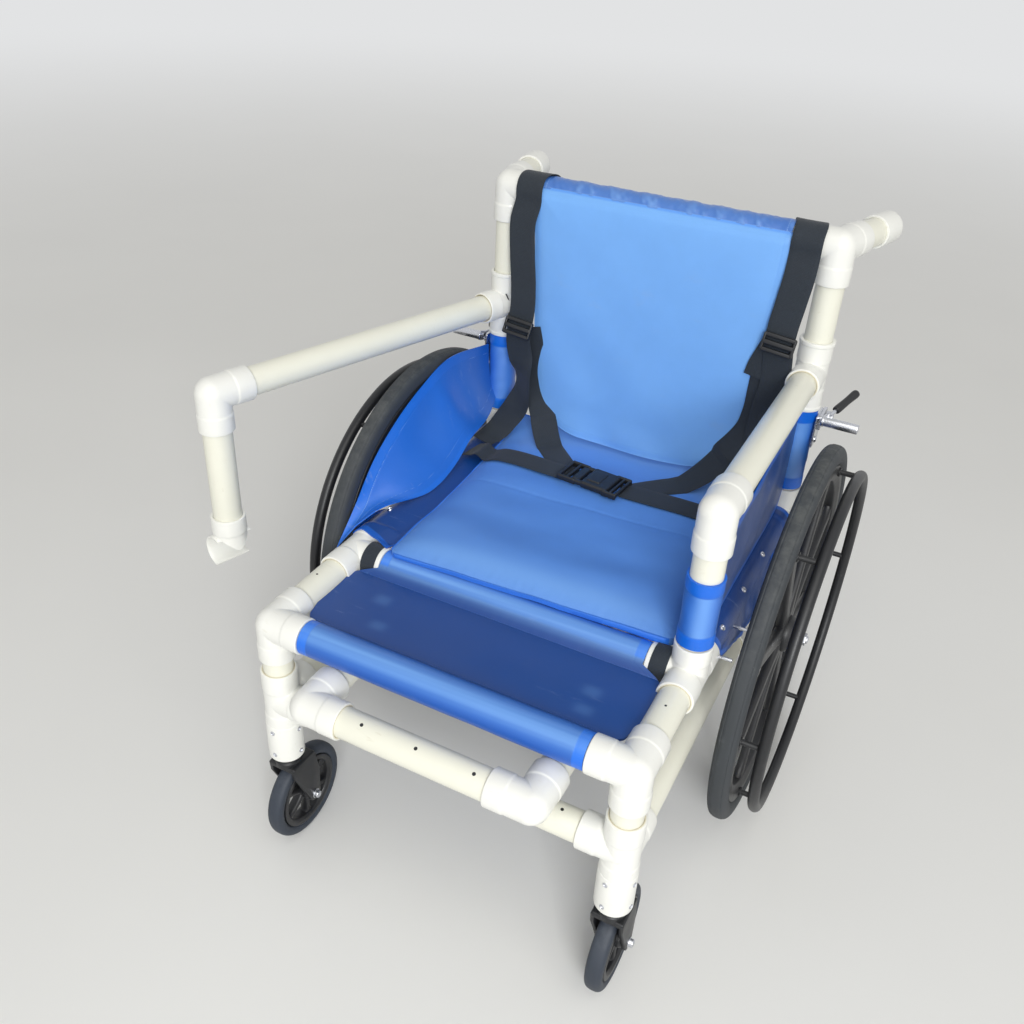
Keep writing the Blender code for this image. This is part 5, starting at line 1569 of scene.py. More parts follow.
@dataclass
class WheelLock(Part):
    """Plate, pivoted lever with its round bar, and grip of one wheel lock."""

    side: str
    sign: float
    pivot: tuple = (0.672, 0.6)
    bar: tuple = (0.632, 0.611)
    bar_x: tuple = (0.2965, 0.352)
    lever_rise: float = 20.0
    clamp: tuple = (0.2872, 0.2902)
    cover: tuple = (0.2898, 0.2952)

    def build(self) -> None:
        """Build the lock's three pieces."""
        s = self.sign
        shape = Shape(f"lock_clamp_{self.side}_steel")
        plate = eased([(0.634, 0.56), (0.676, 0.56), (0.676, 0.614), (0.634, 0.614)], 0.004, closed=True)
        shape.plate(plate, 0, s * self.clamp[0], s * self.clamp[1], 0.0006)
        cover = eased([(0.642, 0.588), (0.686, 0.588), (0.686, 0.612), (0.642, 0.612)], 0.005, closed=True)
        shape.plate(cover, 0, s * self.cover[0], s * self.cover[1], 0.0008)
        for z in (0.57, 0.6):
            face = self.clamp[1] if z < 0.588 else self.cover[1]
            screw_head(shape, (s * face, CHAIR.back - 0.002, z), s * X, radius=0.0052, height=0.003)
        shape.lathe((0.0, *self.pivot), s * X, [(0.288, 0.004), (0.305, 0.004), (0.305, 0.0066),
                                                (0.3078, 0.006), (0.3078, 0.0005)],
                    (0, 0.0003, 0.0006, 0.0012, 0), 28)
        self.piece(shape, Finish.STEEL, f"lock_clamp_{self.side}")
        self._lever()

    def _lever(self) -> None:
        """Disc on the pivot, link, round bar, lever rod and its grip."""
        s, body = self.sign, f"lock_{self.side}"
        base = np.array((s * self.bar_x[0], *self.pivot))
        shape = Shape(f"lock_lever_{self.side}_steel")
        shape.lathe(base, s * X, [(0.0, 0.0046), (0.0, 0.0105), (0.006, 0.0105), (0.006, 0.0046)],
                    (0, 0.0008, 0.001, 0), 36)
        bar_yz, pivot_yz = np.array(self.bar), np.array(self.pivot)
        ahead = unit(bar_yz - pivot_yz)
        over = np.array((-ahead[1], ahead[0]))
        t = np.linspace(-pi / 2, pi / 2, 9)[:, None]
        tip = bar_yz + 0.0085 * (np.cos(t) * ahead + np.sin(t) * over)
        heel = pivot_yz - 0.0075 * (np.cos(t) * ahead + np.sin(t) * over)
        shape.plate(np.concatenate((tip, heel)), 0, base[0] + s * 0.0004, base[0] + s * 0.004, 0.0006)
        length = self.bar_x[1] - self.bar_x[0]
        shape.lathe((base[0], *self.bar), s * X, [(0.0, 0.007), (0.0, 0.0075), (length, 0.0075),
                                                  (length, 0.001)], (0, 0.0004, 0.0016, 0), 36)
        rise = radians(self.lever_rise)
        reach = unit(np.array((s * 0.4, cos(rise), sin(rise))))
        root = base + np.array((s * 0.003, 0.0, 0.0))
        shape.closed(turned(root, reach, eased([(0.0, 0.003), (0.024, 0.0032), (0.026, 0.001)], 0.0004), 20))
        self.piece(shape, Finish.STEEL, f"lock_lever_{self.side}", body=body)
        shape = Shape(f"lock_grip_{self.side}_moulding")
        shape.lathe(root, reach, [(0.02, 0.0034), (0.02, 0.006), (0.024, 0.0066), (0.05, 0.006),
                                  (0.068, 0.0068), (0.0735, 0.0062), (0.0745, 0.001)],
                    (0, 0.001, 0.002, 0.006, 0.003, 0.003, 0), 32)
        self.piece(shape, Finish.MOULDED, f"lock_grip_{self.side}", body=body)


def seam_marks(grid: np.ndarray, distance: np.ndarray, along: np.ndarray, hem: ArrayLike = 0.0,
               worn: ArrayLike = 0.0) -> dict:
    """The cloth attributes of a grid.

    Args:
        grid: the sheet's points.
        distance: how far each is from the nearest seam.
        along: its place along that seam.
        hem: how much of it is hem.
        worn: how much of the pale colour it takes: painted highlights, and a few rubbed spots.
    Returns:
        The values by the attribute's name.
    """
    values = {"seam": distance, "seam_run": along, "hem": hem, "worn": worn}
    return {name: np.broadcast_to(value, grid.shape[:2]) for name, value in values.items()}


def ripples(u: np.ndarray, v: np.ndarray, seed: int, count: int, lengths: tuple,
            slant: float = 0.5) -> np.ndarray:
    """Soft random folds: a sum of sine waves of random length, direction and phase, about one high.

    Args:
        u: first coordinate in metres.
        v: second coordinate in metres.
        seed: the draw's seed.
        count: how many waves.
        lengths: shortest and longest wave.
        slant: how far the waves turn from u, in radians.
    Returns:
        A height for each point.
    """
    draw = np.random.default_rng(seed)
    turn = draw.uniform(-slant, slant, count)
    wave = 2.0 * pi / draw.uniform(*lengths, count)
    phase = draw.uniform(0.0, 2.0 * pi, count)
    angle = u[..., None] * np.cos(turn) * wave + v[..., None] * np.sin(turn) * wave + phase
    return np.sin(angle).sum(axis=-1) / sqrt(count)


@dataclass
class LegPanel(Part):
    """The tight panel at the front of the seat: a loop round each of two crossbars, joined by a web.

    Each loop is a teardrop: straight from the seam up to the bar, round it, and straight back to the seam.

    Attributes:
        widths: places from front to rear, with half the panel's width at each.
        marks: the middles of the small rubbed spots.
        rubbed: strength, angle round the bar, spread and power of each pale stripe round a loop, a painted
            highlight.
    """

    loop_half: float = 0.206
    side_seam: float = 0.0125
    side_hem: float = 0.0135
    # Painted highlights: pale stripes round the loops, on their top and front.
    rubbed: tuple = ((0.62, 122.0, 30.0, 2.2), (0.36, 96.0, 58.0, 3.0))
    radius: float = 0.0226
    seam: float = 0.0345
    tail: float = 0.016
    widths: tuple = ((0.0285, 0.213), (0.034, 0.23), (0.045, 0.235), (0.055, 0.2352), (0.062, 0.2398),
                     (0.146, 0.2398), (0.158, 0.235), (0.166, 0.217), (0.17, 0.206))
    marks: tuple = ((0.166, 0.097), (0.17, 0.061), (-0.165, 0.118), (-0.139, 0.067))
    cols: int = 190

    def _loop(self, y: float, outward: float, steps: int = 70) -> np.ndarray:
        """Points of one loop as (y, z), from its seam over the bar and back under it.

        Args:
            y: where the bar lies.
            outward: -1 for the front bar and 1 for the rear one.
            steps: how many points lie round the bar.
        Returns:
            Pairs of y and z.
        """
        z = CHAIR.seat
        meet = acos(self.radius / self.seam)
        turn = np.linspace(pi - meet, meet - pi, steps)
        round_bar = grid_of(y + outward * self.radius * np.cos(turn), z + self.radius * np.sin(turn))
        start = np.array((y - outward * self.seam, z + 0.0009))
        end = np.array((y - outward * self.seam, z - 0.0012))
        up = np.linspace(start, round_bar[0], 16)[:-1]
        down = np.linspace(round_bar[-1], end, 16)[1:]
        return np.concatenate((up, round_bar, down))

    def build(self) -> None:
        y0, y1, z = 0.0, CHAIR.tee, CHAIR.seat
        front, rear = self._loop(y0, -1.0), self._loop(y1, 1.0)[::-1]
        step = np.linspace(0.0, 1.0, 14)[:, None]
        rear_tail = np.array((y1 - self.seam - self.tail, z - 0.0022)) * (1 - step) + rear[0] * step
        front_tail = front[-1] * (1 - step) + np.array((y0 + self.seam + self.tail, z - 0.0022)) * step
        web = np.linspace(rear[-1], front[0], 80)[1:-1]
        web[:, 1] -= 0.0022 * np.sin(pi * np.linspace(0.0, 1.0, len(web))) ** 2
        path = np.concatenate((rear_tail[:-1], rear, web, front, front_tail[1:]))
        s = run_along(path)
        knots = np.array(self.widths)
        half = np.interp(path[:, 0], knots[:, 0], knots[:, 1])
        half = smoothed(half, 5)
        seam_part = (path[:, 0] > y1 - self.seam - 0.002) | (path[:, 0] < y0 + self.seam + 0.002)
        narrow = np.interp(path[:, 0], (0.029, 0.0345, 0.1575, 0.168),
                           (self.loop_half, 0.23, 0.235, self.loop_half))
        half = np.where(seam_part, np.minimum(half, narrow), half)
        u = np.linspace(-1.0, 1.0, self.cols)[None, :]
        x = u * half[:, None]
        y, level = np.broadcast_to(path[:, 0, None], x.shape), np.broadcast_to(path[:, 1, None], x.shape)
        grid = grid_of(x, y, level)
        normal = surface_normals(grid)
        from_rear, from_front = np.abs(y - (y1 - self.seam)), np.abs(y - (y0 + self.seam))
        pucker = ripples(x, y, 11, 10, (0.008, 0.024), 0.35) * np.exp(-(from_rear / 0.011) ** 1.5)
        second = ripples(x, y, 12, 10, (0.01, 0.03), 0.4)
        pucker = pucker + 0.8 * second * np.exp(-(from_front / 0.011) ** 1.5)
        slack = ripples(x, s[:, None] + 0.0 * x, 13, 8, (0.04, 0.12), 1.2)
        grid = grid + normal * (0.00008 * pucker + 0.00016 * slack)[..., None]
        top = (s > s[len(rear_tail) + 40]) & (s < s[-len(front_tail) - 30])
        seams = np.minimum(from_rear, from_front) + 0.0003
        beside = (1.0 - np.abs(u)) * half[:, None]
        side_seam = np.abs(beside - self.side_seam)
        along = np.where(side_seam < seams, s[:, None], x)
        hem = np.zeros_like(x)
        worn = np.zeros_like(x)
        for bar in (y0, y1):
            turn, away = np.degrees(np.arctan2(level - z, y - bar)), np.hypot(level - z, y - bar)
            near = within(away, 0.033, 0.008)
            # Painted highlight: pale stripes round the top and front of each loop, given as the worn value
            # and broken into streaks further down.
            worn = worn + near * sum(strength * np.exp(-(np.abs(turn - angle) / spread) ** power)
                                     for strength, angle, spread, power in self.rubbed)
            flat = (y - bar) * (1.0 if bar == y0 else -1.0) / away
            # Painted light: round each loop, away from the web, the cloth takes 0.45 of the brighter hem
            # blue; near the side edges it is the real hem at full strength.
            loop = within(flat, 0.86, 0.08) * near.clip(0.0, 0.5) * 2.0
            hem = np.maximum(hem, loop * np.where(beside < self.side_hem, 1.0, 0.45))
        streak = 0.88 + 0.1 * ripples(s[:, None] + 0.0 * x, x, 14, 9, (0.004, 0.018), 0.06)
        worn = worn * streak.clip(0.3, 1.1)
        for px, py in self.marks:
            worn = worn + 0.13 * np.exp(-(np.abs((x - px) / 0.013) ** 3 + np.abs((y - py) / 0.01) ** 3))
        worn = worn * held(1.0 - 0.6 * hem)
        thick = CHAIR.cloth * (0.8 + 0.45 * (hem > 0.1))
        uv = grid_of(x, s[:, None])
        shape = Shape("leg_panel_cloth")
        sewn = np.where(seam_part[:, None], np.minimum(seams, side_seam), seams)
        marks = seam_marks(grid, np.where(top[:, None], sewn, 1.0), along, hem, worn)
        shape.slab(grid, thick, uv, **marks)
        obj = self.piece(shape, Finish.DARK_MESH, "leg_panel")


@dataclass
class SeatSling(Part):
    """The sling under the cushion: over both rails, with a scalloped flap outside each."""

    y_low: float = 0.2505
    y_high: float = 0.6215
    left_reach: float = 0.03
    radius: float = 0.0222
    sag: float = 0.01
    hem: float = 0.0115
    seam: float = 0.0095
    hub_radius: float = 0.0276
    flap: tuple = ((0.2505, 0.418), (0.3, 0.4), (0.383, 0.362), (0.445, 0.36), (0.47, 0.374),
                   (0.513, 0.418), (0.53, 0.42), (0.54, 0.408), (0.57, 0.4), (0.5915, 0.412),
                   (0.6215, 0.424))

    def top(self, x: ArrayLike) -> np.ndarray:
        """Height of the sling's upper face at x."""
        return CHAIR.seat + self.radius - self.sag * np.maximum(0.0, 1.0 - (np.asarray(x, float) / 0.24) ** 2)

    def build(self) -> None:
        t = np.linspace(0.0, 1.0, 130)
        knots = np.array(self.flap)
        plain_y = self.y_low + (self.y_high - self.y_low) * t
        low = np.interp(plain_y, knots[:, 0], knots[:, 1])
        low = smoothed(low, 4)[None, :]
        r = self.radius
        hang = np.linspace(1.0, 0.0, 18)[:-1, None]
        turn = np.radians(np.linspace(0.0, 90.0, 24))[:, None]
        flare = 0.004 * np.sin(pi * hang) + 0.003 * hang ** 2
        one = np.ones_like(plain_y)[None, :]
        mid = np.linspace(-CHAIR.half_width, CHAIR.half_width, 90)[1:-1, None]
        outer, wrap = CHAIR.half_width + r + flare, CHAIR.half_width + r * np.cos(turn)
        fall, rise = CHAIR.seat + hang * (low - CHAIR.seat), CHAIR.seat + r * np.sin(turn)
        spread = 0.017 * hang ** 0.7 * bell(plain_y[None, :] - 0.33, 0.095)
        x = np.concatenate((-outer * one - spread, -wrap * one, mid * one,
                            wrap[::-1] * one, outer[::-1] * one))
        z = np.concatenate((fall + 1.6 * hang * spread, rise * one, self.top(mid) * one,
                            rise[::-1] * one, fall[::-1]))
        reach = np.interp(-x, (0.2, 0.208, 0.27), (0.0, 0.056, self.left_reach))
        ahead = reach * beyond(z, 0.42, 0.012)
        y = plain_y[None, :] - ahead * (1.0 - t[None, :]) ** 1.5
        hub = CHAIR.seat + np.sqrt(np.clip(self.hub_radius ** 2 - (y - CHAIR.tee) ** 2, 0.0, None))
        z = np.where((x < -0.2) & (z > CHAIR.seat + 0.015), np.maximum(z, hub), z)
        over_hub = within(y, 0.25, 0.006) + beyond(y, 0.59, 0.006)
        over_hub = 0.0042 * over_hub * beyond(np.abs(x), 0.215, 0.02)
        grid = grid_of(x, y, z)
        s = run_along(grid)
        s -= s[len(s) // 2]
        loose = held((CHAIR.seat + 0.004 - z) / 0.03)
        waves = 0.0009 * loose * ripples(y, z, 21, 7, (0.03, 0.08), 0.6)
        normal = surface_normals(grid)
        normal = normal * np.sign(normal[len(normal) // 2, 60, 2])
        grid = grid + normal * (over_hub + waves)[..., None]
        ends, sides = np.minimum(s - s[:1], s[-1:] - s), np.minimum(y - y[:, :1], y[:, -1:] - y)
        edge = np.minimum(ends, sides)
        hem = within(edge, self.hem, 0.0012) * 0.6
        uv = grid_of(y, s)
        shape = Shape("seat_sling_cloth")
        marks = seam_marks(grid, np.abs(edge - self.seam), np.where(ends < sides, y, s), hem)
        shape.slab(grid, CHAIR.cloth * (0.75 + 0.4 * (hem > 0.1)), uv, **marks)
        obj = self.piece(shape, Finish.DARK_MESH, "seat_sling")


@dataclass
class SeatCushion(Part):
    """The padded seat, a little askew: a soft crown inside a flat hem, with one stitched channel across."""

    sling: SeatSling
    middle: tuple = (0.0044, 0.4232)
    half: tuple = (0.2183, 0.2305)
    askew: float = 3.15
    bed: float = 0.4512
    rise: float = 0.0265
    hem: float = 0.005
    hem_thick: float = 0.004
    gap: float = 0.0012
    sleeve: float = 0.0246
    soft: tuple = (0.022, 0.026)
    channel: float = 0.0086

    def local(self, x: ArrayLike, y: ArrayLike) -> tuple[np.ndarray, np.ndarray]:
        """A place on the chair, given across the cushion and backwards from its middle.

        Args:
            x: places across the chair.
            y: places from the front legs backwards.
        Returns:
            The two distances.
        """
        a = radians(self.askew)
        dx, dy = np.asarray(x, float) - self.middle[0], np.asarray(y, float) - self.middle[1]
        return dx * cos(a) + dy * sin(a), dy * cos(a) - dx * sin(a)

    def bed_height(self, x: ArrayLike, y: ArrayLike) -> np.ndarray:
        """Height of the underside: level over the seat crossbar, down on the sling, and up again at the back.

        Args:
            x: places across the chair.
            y: places from the front legs backwards.
        Returns:
            A height for each place.
        """
        t = beyond(np.asarray(y, float), 0.256, 0.09)
        t = t * t * (3.0 - 2.0 * t)
        up = beyond(np.asarray(y, float), 0.565, 0.075) ** 2 * 0.03
        return self.bed - t * (self.bed - self.sling.top(x) - self.gap) + up

    def under_height(self, x: ArrayLike, y: ArrayLike) -> np.ndarray:
        """Height of the lower face: on the seat crossbar's sleeve, down behind it, and on the sling.

        Args:
            x: places across the chair.
            y: places from the front legs backwards.
        Returns:
            A height for each place.
        """
        x, y = np.asarray(x, float), np.asarray(y, float)
        behind = np.clip(y - CHAIR.tee, 0.0, None)
        sleeve = CHAIR.seat + np.sqrt(np.clip(self.sleeve ** 2 - behind ** 2, 0.0, None))
        up = self.bed_height(x, y) - self.bed
        sling = self.sling.top(x) + self.gap - 0.1 * np.clip(0.252 - y, 0.0, 0.05)
        return np.maximum(np.minimum(sleeve, self.bed), np.where(y < 0.45, sling, up + self.bed))

    def top_height(self, x: ArrayLike, y: ArrayLike) -> np.ndarray:
        """Height of the upper face: a crown inside the hem, less the stitched channel.

        Args:
            x: places across the chair.
            y: places from the front legs backwards.
        Returns:
            A height for each place.
        """
        along, back = self.local(x, y)
        side, end = self.half[0] - np.abs(along) - self.hem, self.half[1] - np.abs(back) - self.hem
        soft_side = 1.0 - np.exp(-np.clip(side, 0, None) / self.soft[0])
        soft_end = 1.0 - np.exp(-np.clip(end, 0, None) / self.soft[1])
        crown = soft_side * soft_end * (1.0 - 0.1 * (along / self.half[0]) ** 2)
        away = back - self.channel
        seam = 0.001 * bell(away, 0.003) + 0.0014 * bell(away, 0.02)
        return self.bed_height(x, y) + self.hem_thick + (self.rise - self.hem_thick) * crown - seam * crown

    def build(self) -> None:
        even = np.linspace(-1.0, 1.0, 211)
        dense = np.sign(even) * (1.0 - (1.0 - np.abs(even)) ** 1.35)
        u, v = np.meshgrid(dense, dense)
        corner = 0.007 * beyond(np.abs(u), 0.9, 0.1) ** 2 * beyond(np.abs(v), 0.9, 0.1) ** 2
        waist = 0.0028 * (1.0 - v ** 2) * np.abs(u) ** 8
        along = u * self.half[0] - np.sign(u) * (corner + waist)
        back = v * self.half[1] - np.sign(v) * (corner + 0.0016 * (1.0 - u ** 2) * np.abs(v) ** 8)
        a = radians(self.askew)
        x = self.middle[0] + along * cos(a) - back * sin(a)
        y = self.middle[1] + along * sin(a) + back * cos(a)
        side, end = self.half[0] - np.abs(along), self.half[1] - np.abs(back)
        edge = np.minimum(side, end)
        inside = beyond(edge, self.hem, 0.03)
        waves = 0.0009 * ripples(x, y, 31, 9, (0.06, 0.17), 1.5)
        pull = 0.00015 * ripples(x, y, 32, 10, (0.012, 0.03), 0.4)
        pull = pull * bell(back - self.channel, 0.012)
        beside = np.where(side < end, y, x)
        tuck = 0.0002 * ripples(beside, edge, 33, 10, (0.012, 0.035), 0.4)
        tuck = tuck * bell(edge - self.hem - 0.006, 0.008)
        top = self.top_height(x, y) + (waves + pull) * inside + tuck
        bed = self.under_height(x, y)
        rim = np.sqrt(np.clip(edge / 0.0018, 0.04, 1))
        sway = 0.001 * ripples(beside, edge, 34, 6, (0.06, 0.15), 0.3) * np.exp(-edge / 0.008)
        mid, gap = (top + bed) / 2 + sway.clip(0.0, None), (top - bed) / 2 * rim
        seams = np.abs(edge - self.hem + 0.0008) + 0.0003
        # Painted highlight: a pale band along the cushion's front slope, given as its worn value.
        pale = 0.55 * bell(back + self.half[1] - 0.026, 0.02) * (1.0 - np.abs(u) ** 6)
        marks = seam_marks(top, seams, beside, within(edge, self.hem, 0.001) * 0.9, pale)
        flat = grid_of(along, back)
        shape = Shape("seat_cushion_cover")
        shape.layers(grid_of(x, y, mid + gap), grid_of(x, y, mid - gap), flat, **marks)
        obj = self.piece(shape, Finish.SEAT_MESH, "seat_cushion")


@dataclass
class BackPanel(Part):
    """The back: a padded panel hung before the top crossbar, and a glossy gathered sleeve over the bar."""

    half_top: float = 0.203
    seams: tuple = (0.013, 0.0115, 0.01)
    hems: tuple = (0.0135, 0.012, 0.005)
    half_low: float = 0.181
    low: float = 0.479
    lean: float = 0.006
    corner: float = 0.055
    sleeve: float = 0.1975
    cols: int = 170

    def build(self) -> None:
        self._panel()
        self._sleeve()

    def _panel(self) -> None:
        """The panel: crowned, cut away at its lower corners, its foot curving forward on to the cushion."""
        t = np.linspace(0.0, 1.0, 200)[:, None]
        u = np.linspace(-1.0, 1.0, self.cols)[None, :]
        top = CHAIR.top + 0.0115
        half = self.half_low + (self.half_top - self.half_low) * held(t * 1.15) ** 0.9
        x = u * (half - 0.0025 * np.sin(pi * t))
        drop = self.corner * np.abs(u) ** 4.5 * held(1.0 - t / 0.3) ** 1.3
        z = self.low + (top - self.low) * t + drop
        rise = (z - self.low) / (top - self.low)
        y = CHAIR.back - 0.0262 - self.lean * (1.0 - rise) + 0.006 * beyond(rise, 0.955, 0.045) ** 2
        edge_in = np.minimum((1.0 - np.abs(u)) * half, np.minimum(t, 1.0 - t) * (top - self.low))
        crown = (1.0 - np.exp(-np.clip(edge_in - 0.002, 0, None) / 0.022)) * (1.0 - 0.12 * u ** 2)
        curl = held(1.0 - (z - self.low) / 0.06)
        soft = ripples(x, z, 41, 6, (0.05, 0.14), 0.7) * bell(z - self.low, 0.075)
        y = y - 0.0075 * crown - 0.0105 * curl ** 2 - 0.002 * soft * (1 - np.abs(u) ** 6)
        y = y - 0.0007 * ripples(x, z, 42, 8, (0.07, 0.2), 1.4) * crown
        grid = grid_of(x, y, z)
        run = run_along(grid)
        side, foot, head = (1.0 - np.abs(u)) * half, run, run[-1:] - run
        upright, *level = (np.abs(edge - place) for edge, place in zip((side, foot, head), self.seams))
        seam = np.minimum(upright, np.minimum(*level)) + 0.0004
        along = np.where(upright + 0.0004 <= seam + 1e-9, run, x)
        hems = [within(edge, width, 0.0012) for edge, width in zip((side, foot, head), self.hems)]
        hem = np.maximum(0.1 * np.maximum(hems[0], hems[1]), 0.55 * hems[2])
        uv = grid_of(np.broadcast_to(x, y.shape), run)
        shape = Shape("back_panel_cloth")
        shape.slab(grid, CHAIR.cloth * (1.3 - 0.3 * (hem > 0.1)), uv, **seam_marks(grid, seam, along, hem))
        obj = self.piece(shape, Finish.PADDED_MESH, "back_panel")
        area = float(np.trapz(run[-1] - run[0], x[-1])) * 0.95

    def _sleeve(self) -> None:
        """The sleeve over the bar: slanting gathers with painted highlights on their ridges, and an edge a
        little off the panel's head.
        """
        turn = np.radians(np.linspace(164.0, -168.0, 130))[:, None]
        x = np.linspace(-self.sleeve, self.sleeve, 300)[None, :]
        arc = -0.0236 * turn + 0.0 * x
        slant = x + 0.35 * arc
        ends = self.sleeve - np.abs(x) + 0.0 * arc
        gather = ripples(slant, arc, 51, 9, (0.018, 0.06), 0.6)
        gather = gather + 0.45 * ripples(slant, arc, 52, 8, (0.009, 0.02), 0.8)
        loose = np.clip((turn + 0.4) / 1.2, 0.15, 1) * np.clip((3.0 - turn) / 0.5, 0.15, 1)
        radius = 0.0234 + 0.00055 * gather.clip(-1.4, 1.8) * loose
        # A little paler all over, and a painted highlight on the gathers' ridges round the top front of the
        # bar, both given as the worn value.
        worn = 0.32 + 0.45 * held(gather * 0.6 - 0.1) * bell(turn - 2.4, 0.55)
        worn = worn * held((ends + 0.1) / 0.16)
        grid = grid_of(x, CHAIR.back + radius * np.cos(turn), CHAIR.top + radius * np.sin(turn))
        seam = np.minimum(np.abs(arc - arc.min() - 0.006), np.abs(ends - 0.008))
        hem = within(ends, 0.01, 0.001) * 0.1
        shape = Shape("back_sleeve_cloth")
        marks = seam_marks(grid, seam, np.where(np.abs(ends - 0.008) <= seam, arc, x), hem, worn)
        shape.slab(grid, 0.001, grid_of(x, arc), **marks)
        obj = self.piece(shape, Finish.COATED_MESH)


@dataclass
class SidePanels(Part):
    """The tight panel under the fixed arm, and the loose one that leans on the other wheel."""

    front_sleeve: tuple = (0.4825, 0.584)
    rear_sleeve: tuple = (0.4825, 0.6205)
    radius: float = 0.024
    bore: float = 0.0214
    end_hem: float = 0.02
    end_seam: float = 0.018
    loose_low: tuple = ((-0.283, 0.222, 0.4495), (-0.272, 0.267, 0.4575), (-0.2385, 0.366, 0.4495),
                        (-0.242, 0.451, 0.456), (-0.248, 0.511, 0.474), (-0.257, 0.6, 0.487),
                        (-0.262, 0.6265, 0.503))
    loose_high: tuple = ((-0.306, 0.203, 0.412), (-0.3098, 0.259, 0.456), (-0.3108, 0.316, 0.511),
                         (-0.3108, 0.376, 0.548), (-0.3108, 0.451, 0.578), (-0.308, 0.538, 0.6),
                         (-0.284, 0.634, 0.598))

    def build(self) -> None:
        self._tight()
        self._loose()

    def _sleeve(self, shape: Shape, x: float, y: float, span: tuple, seed: int) -> None:
        """Add a sleeve round a post: a tube with a wall, a hem at each end, soft dents and painted light on
        the side that faces the front.

        Args:
            shape: the panel that it joins.
            x: where the post stands.
            y: where the post stands.
            span: its lower and upper end.
            seed: the draw of its dents.
        """
        z = np.linspace(*span, 60)[:, None]
        a = around(72)[None, :]
        mid = (span[0] + span[1]) / 2
        end = (span[1] - span[0]) / 2 - np.abs(z - mid)
        hem = within(end, self.end_hem, 0.0012)
        outer = self.radius + 0.0006 * hem + 0.0004 * ripples(a * 0.024, z, seed, 6, (0.02, 0.06), 1.4)
        outer = outer - 0.0006 * bell(np.abs(end - self.end_hem), 0.0012)
        # Painted light: the side facing the front takes a pale painted highlight and more of the bright hem
        # blue.
        facing = held(np.cos(a - radians(292.0)))
        pale = (0.1 + 0.52 * facing ** 6) * (1.0 - hem)
        hem = np.maximum(hem, 0.35 + 0.45 * facing)
        inner = np.full_like(outer, self.bore)
        loop = np.concatenate((inner, outer[::-1]))
        height = np.concatenate((z, z[::-1])) * np.ones_like(a)
        grid = grid_of(x + loop * np.cos(a), y + loop * np.sin(a), height)
        marks = np.concatenate((hem, hem[::-1])) * np.ones_like(a)
        ends = np.concatenate((end, end[::-1])) * np.ones_like(a)
        worn = np.concatenate((0.0 * pale, pale[::-1]))
        shape.closed(grid, wrap_rows=True, hem=0.9 * marks, seam=np.abs(ends - self.end_seam),
                     seam_run=a * 0.024 * np.ones_like(height), worn=worn)

    def _tight(self) -> None:
        """The panel between the fixed arm's posts."""
        x0 = CHAIR.half_width
        shape = Shape("side_panel_right_cloth")
        self._sleeve(shape, x0, CHAIR.tee, self.front_sleeve, 61)
        self._sleeve(shape, x0, CHAIR.back, self.rear_sleeve, 62)
        y = np.linspace(CHAIR.tee + 0.02, CHAIR.back - 0.02, 150)[None, :]
        t = (y - y.min()) / (y.max() - y.min())
        low_knots = ((0.212, 0.483), (0.24, 0.48), (0.252, 0.451), (0.59, 0.451), (0.612, 0.455),
                     (0.63, 0.483))
        low = np.interp(y, *np.array(low_knots).T)
        front, rear = self.front_sleeve[1], self.rear_sleeve[1]
        high = front + (rear - front) * t - 0.004 * np.sin(pi * t)
        v = np.linspace(0.0, 1.0, 50)[:, None]
        z = low + (high - low) * v
        y = np.broadcast_to(y, z.shape)
        bulge = np.sin(pi * v) * np.sin(pi * t)
        x = x0 + 0.004 * bulge + 0.0022 * ripples(z, y, 63, 7, (0.05, 0.16), 1.3) * np.sqrt(bulge)
        grid = grid_of(x, y, z)
        edge = np.minimum(z - low, high - z)
        seam = np.abs(edge - 0.01)
        hem = within(edge, 0.012, 0.002) * 0.6
        shape.slab(grid, CHAIR.cloth, grid_of(y, z), seam=seam, seam_run=y, hem=hem)
        obj = self.piece(shape, Finish.DARK_MESH, "side_panel_right")

    def _loose(self) -> None:
        """The panel that hangs from the left upright and leans on the tyre's inner shoulder."""
        rows, cols = 130, 60
        low, high = smooth_line(self.loose_low, rows)[:, None], smooth_line(self.loose_high, rows)[:, None]
        v = np.linspace(0.0, 1.0, cols)[None, :, None]
        grid = low + (high - low) * v + 0.007 * np.sin(pi * v) * np.array((-0.6, 0.0, -0.8))
        over = run_along(grid, axis=1)
        run = lengths_of(grid)[..., 1]
        folds = 0.0016 * ripples(run, over, 71, 6, (0.06, 0.2), 0.9) * np.sin(pi * v[..., 0])
        grid = grid + surface_normals(grid) * folds[..., None]
        seam = np.minimum(np.abs(over[:, -1:] - over - 0.016), np.abs(over - 0.02))
        hem = np.maximum(within(over[:, -1:] - over, 0.018, 0.002), within(over, 0.01, 0.002))
        shape = Shape("side_panel_left_cloth")
        worn = (0.06 + 0.03 * ripples(run, over, 73, 7, (0.08, 0.25), 0.5)) * np.sin(pi * v[..., 0])
        # Painted light: besides its real hems, the panel takes half of the bright hem blue, fading out
        # towards the rear, which is left darker as painted shade.
        hem = np.maximum(0.7 * hem, 0.5) * within(run, 0.46, 0.16)
        shape.slab(grid, CHAIR.cloth, grid_of(run, over), seam=seam, seam_run=run, hem=hem, worn=worn)
        self._sleeve(shape, -CHAIR.half_width, CHAIR.back, self.rear_sleeve, 72)
        obj = self.piece(shape, Finish.COATED_MESH, "side_panel_left")


